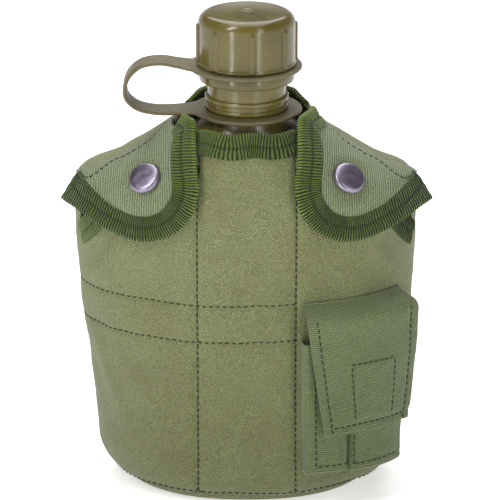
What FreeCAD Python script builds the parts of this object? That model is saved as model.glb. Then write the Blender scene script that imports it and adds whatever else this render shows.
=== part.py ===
import FreeCAD, Part
import math
import os

# A one-quart military canteen in its snap-closed fabric cover, in millimetres.
# The frame stands on the middle of the cover's base: +X to the viewer's right, +Y to the back
# (the side worn against the hip), +Z up. The front of the cover faces -Y.
# The cover is built as layers around one envelope, whose offset 0 is the outside of its fabric.

V = FreeCAD.Vector

# ---- cover envelope --------------------------------------------------------------------------
BASE_HALF_WIDTH = 65.5        # straight sides, carried down to the base plane
TOP_HALF_WIDTH = 75.5         # at TAPER_HEIGHT
TAPER_HEIGHT = 115.0
FRONT_DEPTH = 40.0            # from the neck's axis to the middle of the front
BACK_DEPTH = 34.0
BOW = 9.0                     # how far the sides sweep back at TOP_HALF_WIDTH: the kidney shape
SQUARENESS = 2.4              # exponent of the superellipse section
BASE_ROUND_SIDE = 23.0        # rounding of the base edge, across, front to back, and in height
BASE_ROUND_FRONT = 11.0
BASE_ROUND_HEIGHT = 21.0
SECTION_POINTS = 32
# height, half width, front depth, back depth of the cover's shoulders
COVER_SHOULDERS = (
    (138.0, 75.6, 39.6, 34.0),
    (144.0, 72.0, 38.6, 33.8),
    (150.0, 58.0, 36.6, 33.4),
    (156.0, 48.0, 34.2, 33.0),
    (162.0, 39.0, 31.8, 32.5),
    (168.0, 31.0, 29.0, 32.0),
    (174.0, 26.0, 26.5, 31.5),
    (180.0, 23.5, 24.5, 31.0),
)

# ---- fabric layers, as offsets from the envelope ---------------------------------------------
FABRIC = 1.2
LINING_OUT, LINING_IN = -1.4, -2.8
FLAP_IN, FLAP_OUT = 2.6, 3.8
FLAP_TAPE_IN, FLAP_TAPE_OUT = 1.7, 4.7
EDGE_TAPE_IN, EDGE_TAPE_OUT = -2.0, 0.8
TAPE_WIDTH = 11.0
TAPE_WRAP = 0.8               # tape that covers the cut edge of the fabric
BOTTOM_SEAM_Z = 4.0
SIDE_SEAM_Y = 12.0
FRONT_SEAM_X = 21.5
# the front's free top edge, from the side to the middle, as (x, z)
FRONT_EDGE = ((120.0, 117.0), (77.0, 117.0), (62.0, 143.0), (23.0, 170.0), (-5.0, 170.0))
BACK_EDGE_Z = 176.0
SWING_CLEAR_Z = 170.3         # fabric stays below this where the tether swings
SWING_CLEAR_Y = 12.5
NECK_HOLE_R = 26.8
WELT_IN, WELT_OUT = 0.05, 3.8 # the folded seam that each shoulder flap hangs from
WELT_DEPTH = 7.0

# ---- shoulder flaps --------------------------------------------------------------------------
FLAP_INNER_X = 21.0
FLAP_BOTTOM_Z = 124.0
FLAP_CORNER_R = 25.0
FLAP_RISE = 22.0              # degrees by which the lower edge climbs towards the side
HINGE_IN = V(33.0, -9.0, 171.5)
HINGE_OUT = V(76.0, -5.0, 145.8)

# ---- snaps -----------------------------------------------------------------------------------
SNAP_X, SNAP_Z = 42.5, 148.0
SNAP_CAP_R = 7.3

# ---- bottle ----------------------------------------------------------------------------------
BOTTLE_BASE_Z = 3.2
BOTTLE_BASE_HALF = 62.2
BOTTLE_TOP_HALF = 70.2
BOTTLE_FRONT, BOTTLE_BACK = 36.6, 30.6
BOTTLE_WALL = 1.8
# height, half width, front depth, back depth, squareness, share of the bow
BOTTLE_SHOULDERS = (
    (128.0, 70.6, 36.4, 30.4, 2.40, 1.00),
    (136.0, 69.0, 35.8, 30.0, 2.40, 1.00),
    (143.0, 62.5, 33.6, 28.8, 2.35, 0.95),
    (149.0, 52.0, 30.5, 27.2, 2.30, 0.80),
    (155.0, 41.0, 27.0, 25.0, 2.20, 0.60),
    (161.0, 31.0, 23.4, 22.8, 2.10, 0.35),
    (166.0, 23.5, 20.4, 20.2, 2.00, 0.10),
    (170.0, 19.0, 19.0, 19.0, 2.00, 0.00),
    (172.2, 18.6, 18.6, 18.6, 2.00, 0.00),
)
NECK_R = 17.15
MOUTH_R = 14.2
NECK_TOP_Z = 213.0
NECK_BEADS = ((175.3, 18.1, 0.9), (179.4, 18.4, 0.95))    # height, crest radius, half height
THREAD_PITCH = 5.0
NECK_THREAD_CREST_R = 18.35
NECK_THREAD_FROM, NECK_THREAD_TO = 186.4, 196.6
CAP_THREAD_CREST_R = 17.6
CAP_THREAD_FROM, CAP_THREAD_TO = 190.4, 198.4
THREAD_ROOT_WIDTH, THREAD_CREST_WIDTH = 2.0, 1.0

# ---- cap -------------------------------------------------------------------------------------
CAP_BOTTOM_Z, CAP_TOP_Z = 187.0, 218.0
CAP_BORE_R = 18.75
CAP_BAND_R = 20.9
CAP_GROOVE_R = 20.0
CAP_GROOVE_Z = (191.8, 194.0)
CAP_SKIRT_R = 21.2
CAP_EDGE_R = 4.8
CAP_RIB_R = 22.1
CAP_RIB_WIDTH = 2.3
CAP_RIBS = 8
CAP_RIB_PHASE = 6.0           # degrees from the front
CAP_RIB_Z = (195.0, 212.4)
SEAL_Z = (213.2, 214.8)
SEAL_R = 18.4
CAP_ROOF_Z = 215.1

# ---- tether ----------------------------------------------------------------------------------
TETHER_THICK = 1.7
TETHER_HALF_WIDTH = 6.5
NECK_RING_Z = 172.4
NECK_RING_R = (17.5, 24.3)
CAP_RING_Z = 192.05
CAP_RING_R = (20.4, 25.0)
CAP_RING_SHIFT = 0.6          # the loose ring's outline sits a little to the right
# centreline of the strap in the X-Z plane, from each ring to the outermost point of the loop
UPPER_STRAP = ((-21.5, 192.9), (-29.5, 193.7), (-38.0, 195.2), (-46.0, 193.7), (-51.4, 188.9),
               (-53.2, 183.1))
LOWER_STRAP = ((-20.8, 173.25), (-30.0, 172.9), (-39.5, 172.6), (-47.2, 174.3), (-52.0, 178.3),
               (-53.2, 182.7))

# ---- tablet pocket ---------------------------------------------------------------------------
POUCH_X = (24.5, 68.5)
POUCH_Z = (18.0, 80.0)
POUCH_OFFSET = 9.5
POCKET_FLAP_X = (26.5, 76.5)
POCKET_FLAP_Z = (38.0, 93.0)
POCKET_FLAP_IN, POCKET_FLAP_OUT = 10.9, 12.1
POCKET_TAB_TOP_Z = 97.0
PATCH_X = (42.0, 56.0)
PATCH_Z = (46.0, 70.0)

# ---- belt hangers and slide keepers ----------------------------------------------------------
HANGER_X = 30.0
HANGER_HALF = 12.0
HANGER_Z = (66.0, 140.0)
FOOT_Y = 35.6
TUNNEL_Y = (37.8, 39.4)
TUNNEL_Z = (81.5, 124.5)
STEEL = 1.5
LEG_Y = 35.8
LEG_HALF = 15.0
LEG_Z = (70.5, 145.5)
OUTER_LEG_Y = 45.8
OUTER_LEG_HALF = 10.0
OUTER_LEG_BOTTOM = 68.0
SLOT_HALF = 12.6
SLOT_Z = ((77.0, 82.6), (123.4, 129.0))
FOOT_TIP_Y = (42.3, 43.8)
FOOT_TIP_Z = 66.2
SLIDE_Z = (63.0, 83.0)

FAR = 120.0                   # larger than the object


# ---- geometry helpers ------------------------------------------------------------------------
def box(x0, x1, y0, y1, z0, z1):
    return Part.makeBox(x1 - x0, y1 - y0, z1 - z0, V(x0, y0, z0))


def prism_y(points, y0, y1):
    """A polygon of (x, z) points, extruded from y0 to y1."""
    wire = Part.makePolygon([V(x, y0, z) for x, z in points] + [V(points[0][0], y0, points[0][1])])
    return Part.Face(wire).extrude(V(0, y1 - y0, 0))


def prism_x(points, x0, x1):
    """A polygon of (y, z) points, extruded from x0 to x1."""
    wire = Part.makePolygon([V(x0, y, z) for y, z in points] + [V(x0, points[0][0], points[0][1])])
    return Part.Face(wire).extrude(V(x1 - x0, 0, 0))


def turned(points, axis_at=V(0, 0, 0), axis=V(0, 0, 1)):
    """A closed (r, z) profile turned about an axis."""
    wire = Part.makePolygon([V(r, 0, z) for r, z in points] + [V(points[0][0], 0, points[0][1])])
    solid = Part.Face(wire).revolve(V(0, 0, 0), V(0, 0, 1), 360)
    solid.Placement = FreeCAD.Placement(axis_at, FreeCAD.Rotation(V(0, 0, 1), axis))
    return solid


def mirrored(shape):
    return shape.mirror(V(0, 0, 0), V(1, 0, 0))


def section_points(height, half, front, back, squareness=SQUARENESS, bow_share=1.0):
    """Points around one level kidney section: a superellipse whose sides sweep back."""
    points = []
    for i in range(SECTION_POINTS):
        turn = math.pi * (0.5 + 2 * i / SECTION_POINTS)      # the curve starts at the back
        c, s = math.cos(turn), math.sin(turn)
        x = half * math.copysign(abs(c) ** (2 / squareness), c)
        depth = back if s > 0 else front
        y = depth * math.copysign(abs(s) ** (2 / squareness), s)
        points.append(V(x, y + bow_share * BOW * (x / TOP_HALF_WIDTH) ** 2, height))
    return points


def chord_parameters(points):
    """Curve parameters in proportion to the distances between points around a closed section."""
    total, marks = 0.0, [0.0]
    for here, following in zip(points, points[1:] + points[:1]):
        total += here.distanceToPoint(following)
        marks.append(total)
    return [m / total for m in marks]


# every section uses these, so that lofts between them stay light
SECTION_PARAMETERS = chord_parameters(section_points(0, TOP_HALF_WIDTH, FRONT_DEPTH, BACK_DEPTH))


def section(*measures):
    curve = Part.BSplineCurve()
    curve.interpolate(Points=section_points(*measures), Parameters=SECTION_PARAMETERS, PeriodicFlag=True)
    return Part.Wire([curve.toShape()])


def base_sections(offset, base_half, top_half, front, back, floor_z):
    """The rounded base and the tapering sides, up to TAPER_HEIGHT."""
    wires = []
    for degrees in (0, 12, 25, 40, 55, 72, 90):
        up, out = 1 - math.cos(math.radians(degrees)), 1 - math.sin(math.radians(degrees))
        z = floor_z - offset + (BASE_ROUND_HEIGHT + offset) * up
        half = base_half + (top_half - base_half) * z / TAPER_HEIGHT + offset
        side_in, front_in = (BASE_ROUND_SIDE + offset) * out, (BASE_ROUND_FRONT + offset) * out
        wires.append(section(z, half - side_in, front + offset - front_in, back + offset - front_in))
    for z in (36.0, 52.0, 68.0, 84.0, 100.0, TAPER_HEIGHT):
        half = base_half + (top_half - base_half) * z / TAPER_HEIGHT + offset
        wires.append(section(z, half, front + offset, back + offset))
    return wires


def shoulder_sections(offset, stations):
    """The shoulders, each station moved out along the normal of the outline seen from the front."""
    wires = []
    for i, station in enumerate(stations):
        below, above = stations[max(i - 1, 0)], stations[min(i + 1, len(stations) - 1)]
        rise = above[0] - below[0]
        slope = (above[1] - below[1]) / rise
        lean = math.hypot(1, slope)
        lift = -slope / lean * offset
        front_slope, back_slope = (above[2] - below[2]) / rise, (above[3] - below[3]) / rise
        front = station[2] + front_slope * lift + offset * math.hypot(1, front_slope)
        back = station[3] + back_slope * lift + offset * math.hypot(1, back_slope)
        wires.append(section(station[0] + lift, station[1] + offset / lean, front, back, *station[4:]))
    return wires


ENVELOPES = {}
LAYERS = {}


def envelope(offset):
    """The cover's outer form, grown by offset, as one solid."""
    if offset not in ENVELOPES:
        wires = base_sections(offset, BASE_HALF_WIDTH, TOP_HALF_WIDTH, FRONT_DEPTH, BACK_DEPTH, 0.0)
        wires += shoulder_sections(offset, COVER_SHOULDERS)
        ENVELOPES[offset] = Part.makeLoft(wires, True, False)
    return ENVELOPES[offset]


def volume(shape):
    """Volume of the shape's mesh: the exact integral is unreliable on long spline faces."""
    points, triangles = shape.tessellate(0.2)
    return sum(points[a].dot(points[b].cross(points[c])) for a, b, c in triangles) / 6


def split(shape, region):
    """The parts of shape inside and outside region; the tool is nudged if the two don't add up."""
    whole = volume(shape)
    for nudge in (0.0, 0.011, -0.013, 0.027, -0.031):
        tool = region.copy()
        tool.translate(V(nudge, nudge, -nudge))
        inside, outside = shape.common(tool), shape.cut(tool)
        volumes = volume(inside), volume(outside)
        if abs(sum(volumes) - whole) < 0.02 * whole and min(volumes) > 0.0005 * whole:
            return inside, outside
    raise ValueError("no clean split: %.1f + %.1f of %.1f" % (*volumes, whole))


def within(shape, region):
    return split(shape, region)[0]


def without(shape, *regions):
    for region in regions:
        shape = split(shape, region)[1]
    return shape


def layer(outer, inner):
    """The right half of the shell between two offsets."""
    if (outer, inner) not in LAYERS:
        half = envelope(outer).common(box(0, FAR, -FAR, FAR, -20, 200))
        LAYERS[outer, inner] = half.cut(envelope(inner))
    return LAYERS[outer, inner]


def both_halves(shape):
    return shape.fuse(mirrored(shape))


def surface_frame(x, z):
    """The point and outward normal of the cover's front at (x, z)."""
    line = Part.LineSegment(V(x, -FAR, z), V(x, 0, z)).toShape()
    point = min((v.Point for v in line.common(envelope(0.0)).Vertexes), key=lambda p: p.y)
    side = next(f for f in envelope(0.0).Faces if not isinstance(f.Surface, Part.Plane))
    u, v = side.Surface.parameter(point)
    normal = side.normalAt(u, v)
    if normal.y > 0:
        normal = normal * -1
    return point, normal


def union(shapes):
    joined = shapes[0]
    for shape in shapes[1:]:
        joined = joined.fuse(shape)
    return joined.removeSplitter()


def export(name, shape):
    solids = shape.Solids
    big = max(s.Volume for s in solids)
    kept = [s for s in solids if s.Volume > 0.02 * big]
    shape = kept[0] if len(kept) == 1 else Part.makeCompound(kept)
    if not shape.isValid():
        print("NOT VALID", name)
    print("%-24s %2d solid(s) %10.1f mm3" % (name, len(kept), shape.Volume))
    shape.exportStep(os.path.join("parts", name + ".step"))


# ---- bottle ----------------------------------------------------------------------------------
def bottle_form(offset):
    wires = base_sections(offset, BOTTLE_BASE_HALF, BOTTLE_TOP_HALF,
                          BOTTLE_FRONT, BOTTLE_BACK, BOTTLE_BASE_Z)
    return Part.makeLoft(wires + shoulder_sections(offset, BOTTLE_SHOULDERS), True, False)


def thread(root_r, crest_r, z_from, z_to, start_degrees):
    """A helical ridge whose root is buried a little in the wall that carries it."""
    sink = 0.25 if crest_r > root_r else -0.25
    turns_height = z_to - z_from
    helix = Part.makeHelix(THREAD_PITCH, turns_height, root_r)
    profile = Part.makePolygon([
        V(root_r - sink, 0, -THREAD_ROOT_WIDTH / 2),
        V(crest_r, 0, -THREAD_CREST_WIDTH / 2),
        V(crest_r, 0, THREAD_CREST_WIDTH / 2),
        V(root_r - sink, 0, THREAD_ROOT_WIDTH / 2),
        V(root_r - sink, 0, -THREAD_ROOT_WIDTH / 2),
    ])
    ridge = Part.Wire(helix.Edges).makePipeShell([profile], True, True)
    ridge.rotate(V(0, 0, 0), V(0, 0, 1), start_degrees)
    ridge.translate(V(0, 0, z_from))
    return ridge


def bottle():
    neck = Part.makeCylinder(NECK_R, NECK_TOP_Z - 165, V(0, 0, 165))
    solid = bottle_form(0.0).fuse(neck)
    for z, crest, half in NECK_BEADS:
        bead = turned([(NECK_R - 0.5, z - half), (crest - 0.35, z - half), (crest, z - half / 2),
                       (crest, z + half / 2), (crest - 0.35, z + half), (NECK_R - 0.5, z + half)])
        solid = solid.fuse(bead)
    solid = solid.fuse(thread(NECK_R, NECK_THREAD_CREST_R, NECK_THREAD_FROM, NECK_THREAD_TO, 250))
    inside = bottle_form(-BOTTLE_WALL)
    bore = Part.makeCylinder(MOUTH_R, NECK_TOP_Z - 160 + 1, V(0, 0, 160))
    return solid.cut(inside.fuse(bore))


# ---- cap, seal and tether --------------------------------------------------------------------
def cap():
    top, edge = CAP_TOP_Z, CAP_EDGE_R
    outline = [(0, top)]
    dome = 0.7
    for degrees in range(0, 91, 15):
        a = math.radians(degrees)
        outline.append((CAP_SKIRT_R - edge + edge * math.sin(a), top - dome - edge + edge * math.cos(a)))
    low, high = CAP_GROOVE_Z
    outline += [
        (CAP_SKIRT_R, high + 0.6), (CAP_SKIRT_R + 0.4, high), (CAP_GROOVE_R, high),
        (CAP_GROOVE_R, low), (CAP_BAND_R, low - 0.3), (CAP_BAND_R - 0.3, CAP_BOTTOM_Z),
        (CAP_BORE_R, CAP_BOTTOM_Z), (CAP_BORE_R, CAP_ROOF_Z), (0, CAP_ROOF_Z),
    ]
    solid = turned(outline)
    low, high = CAP_RIB_Z
    for i in range(CAP_RIBS):
        rib = box(-CAP_RIB_WIDTH / 2, CAP_RIB_WIDTH / 2, -CAP_RIB_R, -(CAP_SKIRT_R - 1.0), low, high)
        rib = rib.makeChamfer(0.5, [e for e in rib.Edges if e.BoundBox.YMax < -CAP_RIB_R + 0.01])
        rib.rotate(V(0, 0, 0), V(0, 0, 1), CAP_RIB_PHASE + i * 360 / CAP_RIBS)
        solid = solid.fuse(rib)
    solid = solid.fuse(thread(CAP_BORE_R, CAP_THREAD_CREST_R, CAP_THREAD_FROM, CAP_THREAD_TO,
                              250 + 180 + (CAP_THREAD_FROM - NECK_THREAD_FROM) / THREAD_PITCH * 360))
    gate = Part.makeSphere(1.6, V(0, 0, CAP_TOP_Z + 1.2))
    return solid.cut(gate)


def seal():
    low, high = SEAL_Z
    return turned([(0, low), (SEAL_R, low), (SEAL_R, high), (0, high)])


def strap(points):
    """A strap of constant thickness that follows a smooth line through the points."""
    line = Part.BSplineCurve()
    line.interpolate([V(x, 0, z) for x, z in points])
    first, last = line.FirstParameter, line.LastParameter
    above, below = [], []
    steps = 14
    for i in range(steps + 1):
        at = first + (last - first) * i / steps
        along = line.tangent(at)[0]
        across = V(-along.z, 0, along.x) * (TETHER_THICK / 2)
        above.append(line.value(at) + across)
        below.append(line.value(at) - across)
    edges = []
    for side in (above, below):
        curve = Part.BSplineCurve()
        curve.interpolate(side)
        edges.append(curve.toShape())
    edges.append(Part.LineSegment(above[0], below[0]).toShape())
    edges.append(Part.LineSegment(above[-1], below[-1]).toShape())
    face = Part.Face(Part.Wire(Part.__sortEdges__(edges)))
    face.translate(V(0, -TETHER_HALF_WIDTH, 0))
    return face.extrude(V(0, 2 * TETHER_HALF_WIDTH, 0))


def tether(strap_points, ring_z, ring_radii, shift):
    """One half of the tether: a flat ring with its half of the strap."""
    inner, outer = ring_radii
    ring = Part.makeCylinder(outer, TETHER_THICK, V(shift, 0, ring_z))
    hole = Part.makeCylinder(inner, 4 * TETHER_THICK, V(0, 0, ring_z - 1.5 * TETHER_THICK))
    return ring.fuse(strap(strap_points)).cut(hole)


# ---- cover -----------------------------------------------------------------------------------
def lowered(points, drop):
    """An open (x, z) polyline that runs towards -X, moved down square to each of its stretches."""
    lines = []
    for (x0, z0), (x1, z1) in zip(points, points[1:]):
        length = math.hypot(x1 - x0, z1 - z0)
        out_x, out_z = (z1 - z0) / length, (x0 - x1) / length
        lines.append((x0 - out_x * drop, z0 - out_z * drop, x1 - x0, z1 - z0))
    moved = [lines[0][:2]]
    for (ax, az, adx, adz), (bx, bz, bdx, bdz) in zip(lines, lines[1:]):
        t = ((bx - ax) * bdz - (bz - az) * bdx) / (adx * bdz - adz * bdx)
        moved.append((ax + adx * t, az + adz * t))
    ax, az, adx, adz = lines[-1]
    return moved + [(ax + adx, az + adz)]


def front_region(drop, floor=BOTTOM_SEAM_Z):
    """The right half of the front in front view, its free edge drawn in by drop."""
    edge = lowered(FRONT_EDGE, drop)
    return prism_y([(edge[-1][0], floor), (edge[0][0], floor)] + edge, -FAR, SIDE_SEAM_Y)


def swing_clearance():
    return box(-5, FAR, -FAR, SWING_CLEAR_Y, SWING_CLEAR_Z, 200)


def trimmed(shape):
    """Shape cut back around the neck and where the tether swings."""
    return shape.cut(Part.makeCylinder(NECK_HOLE_R, 60, V(0, 0, 150))).cut(swing_clearance())


def ahead_of_hinge(margin=0.0):
    """Everything in front of the vertical plane through the right flap's hinge line."""
    y_in, y_out = HINGE_IN.y - margin, HINGE_OUT.y - margin
    points = [(-5, y_in), (HINGE_IN.x, y_in), (HINGE_OUT.x, y_out), (FAR, y_out), (FAR, -FAR), (-5, -FAR)]
    wire = Part.makePolygon([V(x, y, 0) for x, y in points + points[:1]])
    return Part.Face(wire).extrude(V(0, 0, 200))


def cover_panels():
    """Right halves of the bottom, the front's middle and side, and the back."""
    fabric = layer(0.0, -FABRIC)
    bottom, walls = split(fabric, box(-5, FAR, -FAR, FAR, -20, BOTTOM_SEAM_Z))
    front = within(walls, front_region(TAPE_WRAP))
    middle, side = split(front, box(-5, FRONT_SEAM_X, -FAR, FAR, -20, 200))
    rear = without(walls, front_region(0.0), ahead_of_hinge(), box(-5, FAR, -FAR, FAR, BACK_EDGE_Z, 200))
    return bottom, middle, side, trimmed(rear)


def edge_tapes():
    """Right halves of the ribbed tapes folded over the free edges of the front and the back."""
    skin = layer(EDGE_TAPE_OUT, EDGE_TAPE_IN)
    core = layer(0.0, -FABRIC)
    front = without(within(skin, front_region(0.0)), front_region(TAPE_WIDTH))
    front = front.cut(within(core, front_region(TAPE_WRAP)))
    rear = within(skin, box(-5, FAR, SWING_CLEAR_Y, FAR, BACK_EDGE_Z - TAPE_WIDTH, BACK_EDGE_Z + TAPE_WRAP))
    rear = trimmed(rear).cut(within(core, box(-5, FAR, -FAR, FAR, 20, BACK_EDGE_Z)))
    return trimmed(front), rear


def linings():
    felt = layer(LINING_OUT, LINING_IN)
    front = within(felt, front_region(TAPE_WIDTH + 1, -20))
    rear = within(felt, box(-5, FAR, SIDE_SEAM_Y, FAR, -20, BACK_EDGE_Z - TAPE_WIDTH - 1))
    return front, trimmed(rear)


def flap_region(inset, back=0.0):
    """A right shoulder flap in front view: straight inner edge, round corner, rising lower edge."""
    radius = FLAP_CORNER_R - inset
    centre_x, centre_z = FLAP_INNER_X + FLAP_CORNER_R, FLAP_BOTTOM_Z + FLAP_CORNER_R
    corner = []
    for i in range(12):
        a = math.radians(270 + FLAP_RISE - i * (90 + FLAP_RISE) / 11)
        corner.append((centre_x + radius * math.cos(a), centre_z + radius * math.sin(a)))
    run = FAR - corner[0][0]
    far_end = (FAR, corner[0][1] + run * math.tan(math.radians(FLAP_RISE)))
    outline = [far_end] + corner + [(FLAP_INNER_X + inset, 200), (FAR, 200)]
    return prism_y(outline, -FAR, back)


def shoulder_flap():
    """The right flap's fabric, and the ribbed tape bound around its three free edges."""
    fabric = within(within(layer(FLAP_OUT, FLAP_IN), ahead_of_hinge(1.2)), flap_region(TAPE_WRAP))
    fabric = trimmed(fabric)
    tape = within(within(layer(FLAP_TAPE_OUT, FLAP_TAPE_IN), ahead_of_hinge(0.3)), flap_region(0.0))
    tape = trimmed(without(tape, flap_region(TAPE_WIDTH)))
    return fabric, tape.cut(fabric)


def ridge_welt():
    """The folded seam along the ridge that the right flap hangs from."""
    welt = within(layer(WELT_OUT, WELT_IN), ahead_of_hinge(-WELT_DEPTH))
    welt = within(without(welt, ahead_of_hinge()), flap_region(0.5, WELT_DEPTH))
    return trimmed(welt)


# ---- snaps -----------------------------------------------------------------------------------
def snap_parts():
    """Cap and socket on the right flap, stud and post on the front panel, along the local normal."""
    at, axis = surface_frame(SNAP_X, SNAP_Z)
    rim = SNAP_CAP_R
    top, seat = FLAP_OUT, FLAP_OUT + 0.1
    cap_profile = [(0, top + 2.6), (2.5, top + 2.5), (rim - 1.6, top + 1.9), (rim - 0.3, top + 1.1),
                   (rim, top + 0.6), (rim - 0.4, seat), (1.9, seat), (1.9, FLAP_IN - 0.4), (0, FLAP_IN - 0.4)]
    socket_profile = [(0, 2.15), (5.3, 2.15), (5.3, 0.75), (3.5, 0.75), (3.5, 1.85), (0, 1.85)]
    stud_profile = [(0, 1.65), (2.5, 1.65), (2.9, 1.2), (2.6, 0.5), (5.0, 0.5), (5.0, 0.08), (1.6, 0.08),
                    (1.6, -1.55), (0, -1.55)]
    post_profile = [(0, -1.6), (5.0, -1.6), (5.0, -2.15), (0, -2.15)]
    shapes = [turned(p, at, axis) for p in (cap_profile, socket_profile, stud_profile, post_profile)]
    seat_r, back_r = rim + 0.5, 5.6
    flap_hole = [(0, 8), (seat_r, 8), (seat_r, seat - 0.05), (2.0, seat - 0.05), (2.0, 2.25), (back_r, 2.25),
                 (back_r, 0), (0, 0)]
    panel_hole = [(0, 0.5), (1.7, 0.5), (1.7, -1.5), (back_r, -1.5), (back_r, -4), (0, -4)]
    holes = {
        "flap": turned(flap_hole, at, axis),
        "panel": turned(panel_hole, at, axis),
        "tape": turned([(0, 1.6), (back_r, 1.6), (back_r, -6), (0, -6)], at, axis),
        "lining": turned([(0, -0.5), (back_r, -0.5), (back_r, -6), (0, -6)], at, axis),
    }
    return shapes, holes


# ---- tablet pocket ---------------------------------------------------------------------------
def pocket():
    """Pouch, hinged flap, the flap's sewn root, and the two fastening tapes."""
    wall = FABRIC
    (x0, x1), (z0, z1) = POUCH_X, POUCH_Z
    outer = envelope(POUCH_OFFSET).common(box(x0, x1, -FAR, 0, z0, z1))
    inner = envelope(POUCH_OFFSET - wall).common(box(x0 + wall, x1 - wall, -FAR, 5, z0 + wall, z1 + 5))
    pouch = outer.cut(inner).cut(envelope(0.2))
    (x0, x1), (z0, z1) = POCKET_FLAP_X, POCKET_FLAP_Z
    face = layer(POCKET_FLAP_OUT, POCKET_FLAP_IN).common(box(x0, x1, -FAR, 4, z0, z1 - wall - 0.3))
    roof = envelope(POCKET_FLAP_OUT).common(box(x0, x1, -FAR, 4, z1 - wall, z1)).cut(envelope(0.4))
    tab = layer(wall + 0.4, 0.4).common(box(x0, x1, -FAR, 4, z1 - wall, POCKET_TAB_TOP_Z))
    (x0, x1), (z0, z1) = PATCH_X, PATCH_Z
    loop = layer(POUCH_OFFSET + 0.6, POUCH_OFFSET + 0.05).common(box(x0, x1, -FAR, 0, z0, z1))
    hook = layer(POCKET_FLAP_IN - 0.05, POCKET_FLAP_IN - 0.6).common(box(x0, x1, -FAR, 0, z0, z1))
    return pouch, face, union([roof, tab]), loop, hook


# ---- belt hangers and slide keepers ----------------------------------------------------------
def hanger():
    x0, x1 = HANGER_X - HANGER_HALF, HANGER_X + HANGER_HALF
    low, high = HANGER_Z
    ramp = 4.0
    outer = prism_x([(20, low), (FOOT_Y, low), (FOOT_Y, TUNNEL_Z[0] - ramp), (TUNNEL_Y[1], TUNNEL_Z[0]),
                     (TUNNEL_Y[1], TUNNEL_Z[1]), (FOOT_Y, TUNNEL_Z[1] + ramp), (FOOT_Y, high),
                     (20, high)], x0, x1)
    hollow = prism_x([(20, TUNNEL_Z[0] - 3), (34.2, TUNNEL_Z[0] - 3), (TUNNEL_Y[0], TUNNEL_Z[0] + 0.8),
                      (TUNNEL_Y[0], TUNNEL_Z[1] - 0.8), (34.2, TUNNEL_Z[1] + 3),
                      (20, TUNNEL_Z[1] + 3)], x0 - 1, x1 + 1)
    return outer.cut(hollow).cut(envelope(0.1))


def keeper_frame():
    """A bent steel strap: slotted leg against the cover, bend over the belt, free outer leg."""
    x, low, high = HANGER_X, LEG_Z[0], LEG_Z[1]
    leg = box(x - LEG_HALF, x + LEG_HALF, LEG_Y, LEG_Y + STEEL, low, high)
    for z0, z1 in SLOT_Z:
        leg = leg.cut(box(x - SLOT_HALF, x + SLOT_HALF, 0, 60, z0, z1))
    narrow = OUTER_LEG_HALF
    bend = box(x - narrow, x + narrow, LEG_Y, OUTER_LEG_Y + STEEL, high - STEEL, high)
    outer = box(x - narrow, x + narrow, OUTER_LEG_Y, OUTER_LEG_Y + STEEL, OUTER_LEG_BOTTOM, high)
    foot = box(x - 6, x + 6, LEG_Y, FOOT_TIP_Y[1], low, low + STEEL)
    tip = box(x - 6, x + 6, FOOT_TIP_Y[0], FOOT_TIP_Y[1], FOOT_TIP_Z, low + STEEL)
    frame = union([leg, bend, outer, foot, tip])
    corners = [e for e in frame.Edges if e.Length > 1.9 * narrow and e.BoundBox.ZMin > high - 0.01
               and e.BoundBox.YMin > OUTER_LEG_Y + STEEL - 0.01]
    return frame.makeFillet(1.4, corners) if corners else frame


def keeper_slide():
    """A sliding catch: a channel around the outer leg with a hooked floor that holds the foot's tip."""
    x, (low, high) = HANGER_X, SLIDE_Z
    y0, y1 = 44.3, 48.8
    body = box(x - 11.6, x + 11.6, y0, y1, low, high)
    gap = 0.25
    reach = OUTER_LEG_HALF + gap
    channel = (OUTER_LEG_Y - gap, OUTER_LEG_Y + STEEL + gap)
    body = body.cut(box(x - reach, x + reach, channel[0], channel[1], low - 1, high + 1))
    body = body.cut(box(x - 8, x + 8, y0 - 1, OUTER_LEG_Y, low - 1, high + 1))
    floor = box(x - 6, x + 6, 39.6, y1, low, low + 1.4)
    lip = box(x - 6, x + 6, 39.6, 41.0, low, low + 5.5)
    thumb = box(x - 8, x + 8, y1 - 0.4, y1 + 1.6, low + 2.5, low + 4.5)
    return union([body, floor, lip, thumb])


def main():
    os.makedirs("parts", exist_ok=True)

    export("bottle", bottle())
    export("cap", cap())
    export("cap_seal", seal())
    export("tether_cap_half", tether(UPPER_STRAP, CAP_RING_Z, CAP_RING_R, CAP_RING_SHIFT))
    export("tether_neck_half", tether(LOWER_STRAP, NECK_RING_Z, NECK_RING_R, 0.0))

    snap_shapes, holes = snap_parts()
    bottom, middle, side, rear = cover_panels()
    export("bottom_panel", both_halves(bottom))
    export("front_center_panel", both_halves(middle))
    export("back_panel", both_halves(rear))
    front_tape, back_tape = edge_tapes()
    export("front_edge_tape", both_halves(front_tape.cut(holes["tape"])))
    export("back_edge_tape", both_halves(back_tape))
    lining_front, lining_back = linings()
    export("lining_front", both_halves(lining_front.cut(holes["lining"])))
    export("lining_back", both_halves(lining_back))

    flap, flap_tape = shoulder_flap()
    pairs = {
        "front_panel": side.cut(holes["panel"]),
        "flap": flap.cut(holes["flap"]),
        "flap_tape": flap_tape,
        "ridge_welt": ridge_welt(),
        "belt_hanger": hanger(),
        "keeper_frame": keeper_frame(),
        "keeper_slide": keeper_slide(),
    }
    pairs.update(zip(("snap_cap", "snap_socket", "snap_stud", "snap_post"), snap_shapes))
    for kind, shape in pairs.items():
        export("right_" + kind, shape)
        export("left_" + kind, mirrored(shape))

    names = ("pocket_pouch", "pocket_flap", "pocket_flap_root", "pocket_loop_tape", "pocket_hook_tape")
    for name, shape in zip(names, pocket()):
        export(name, shape)


main()
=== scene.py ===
"""A one-quart belt canteen in its snap-closed fabric cover: sewn cloth, moulded plastic and lacquered metal.

Lengths in this file are millimetres until a mesh is made; Blender's are metres.
The cover is modelled on one envelope, the outside of its fabric, described by profile() and section_curve().
"""
import math

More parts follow.
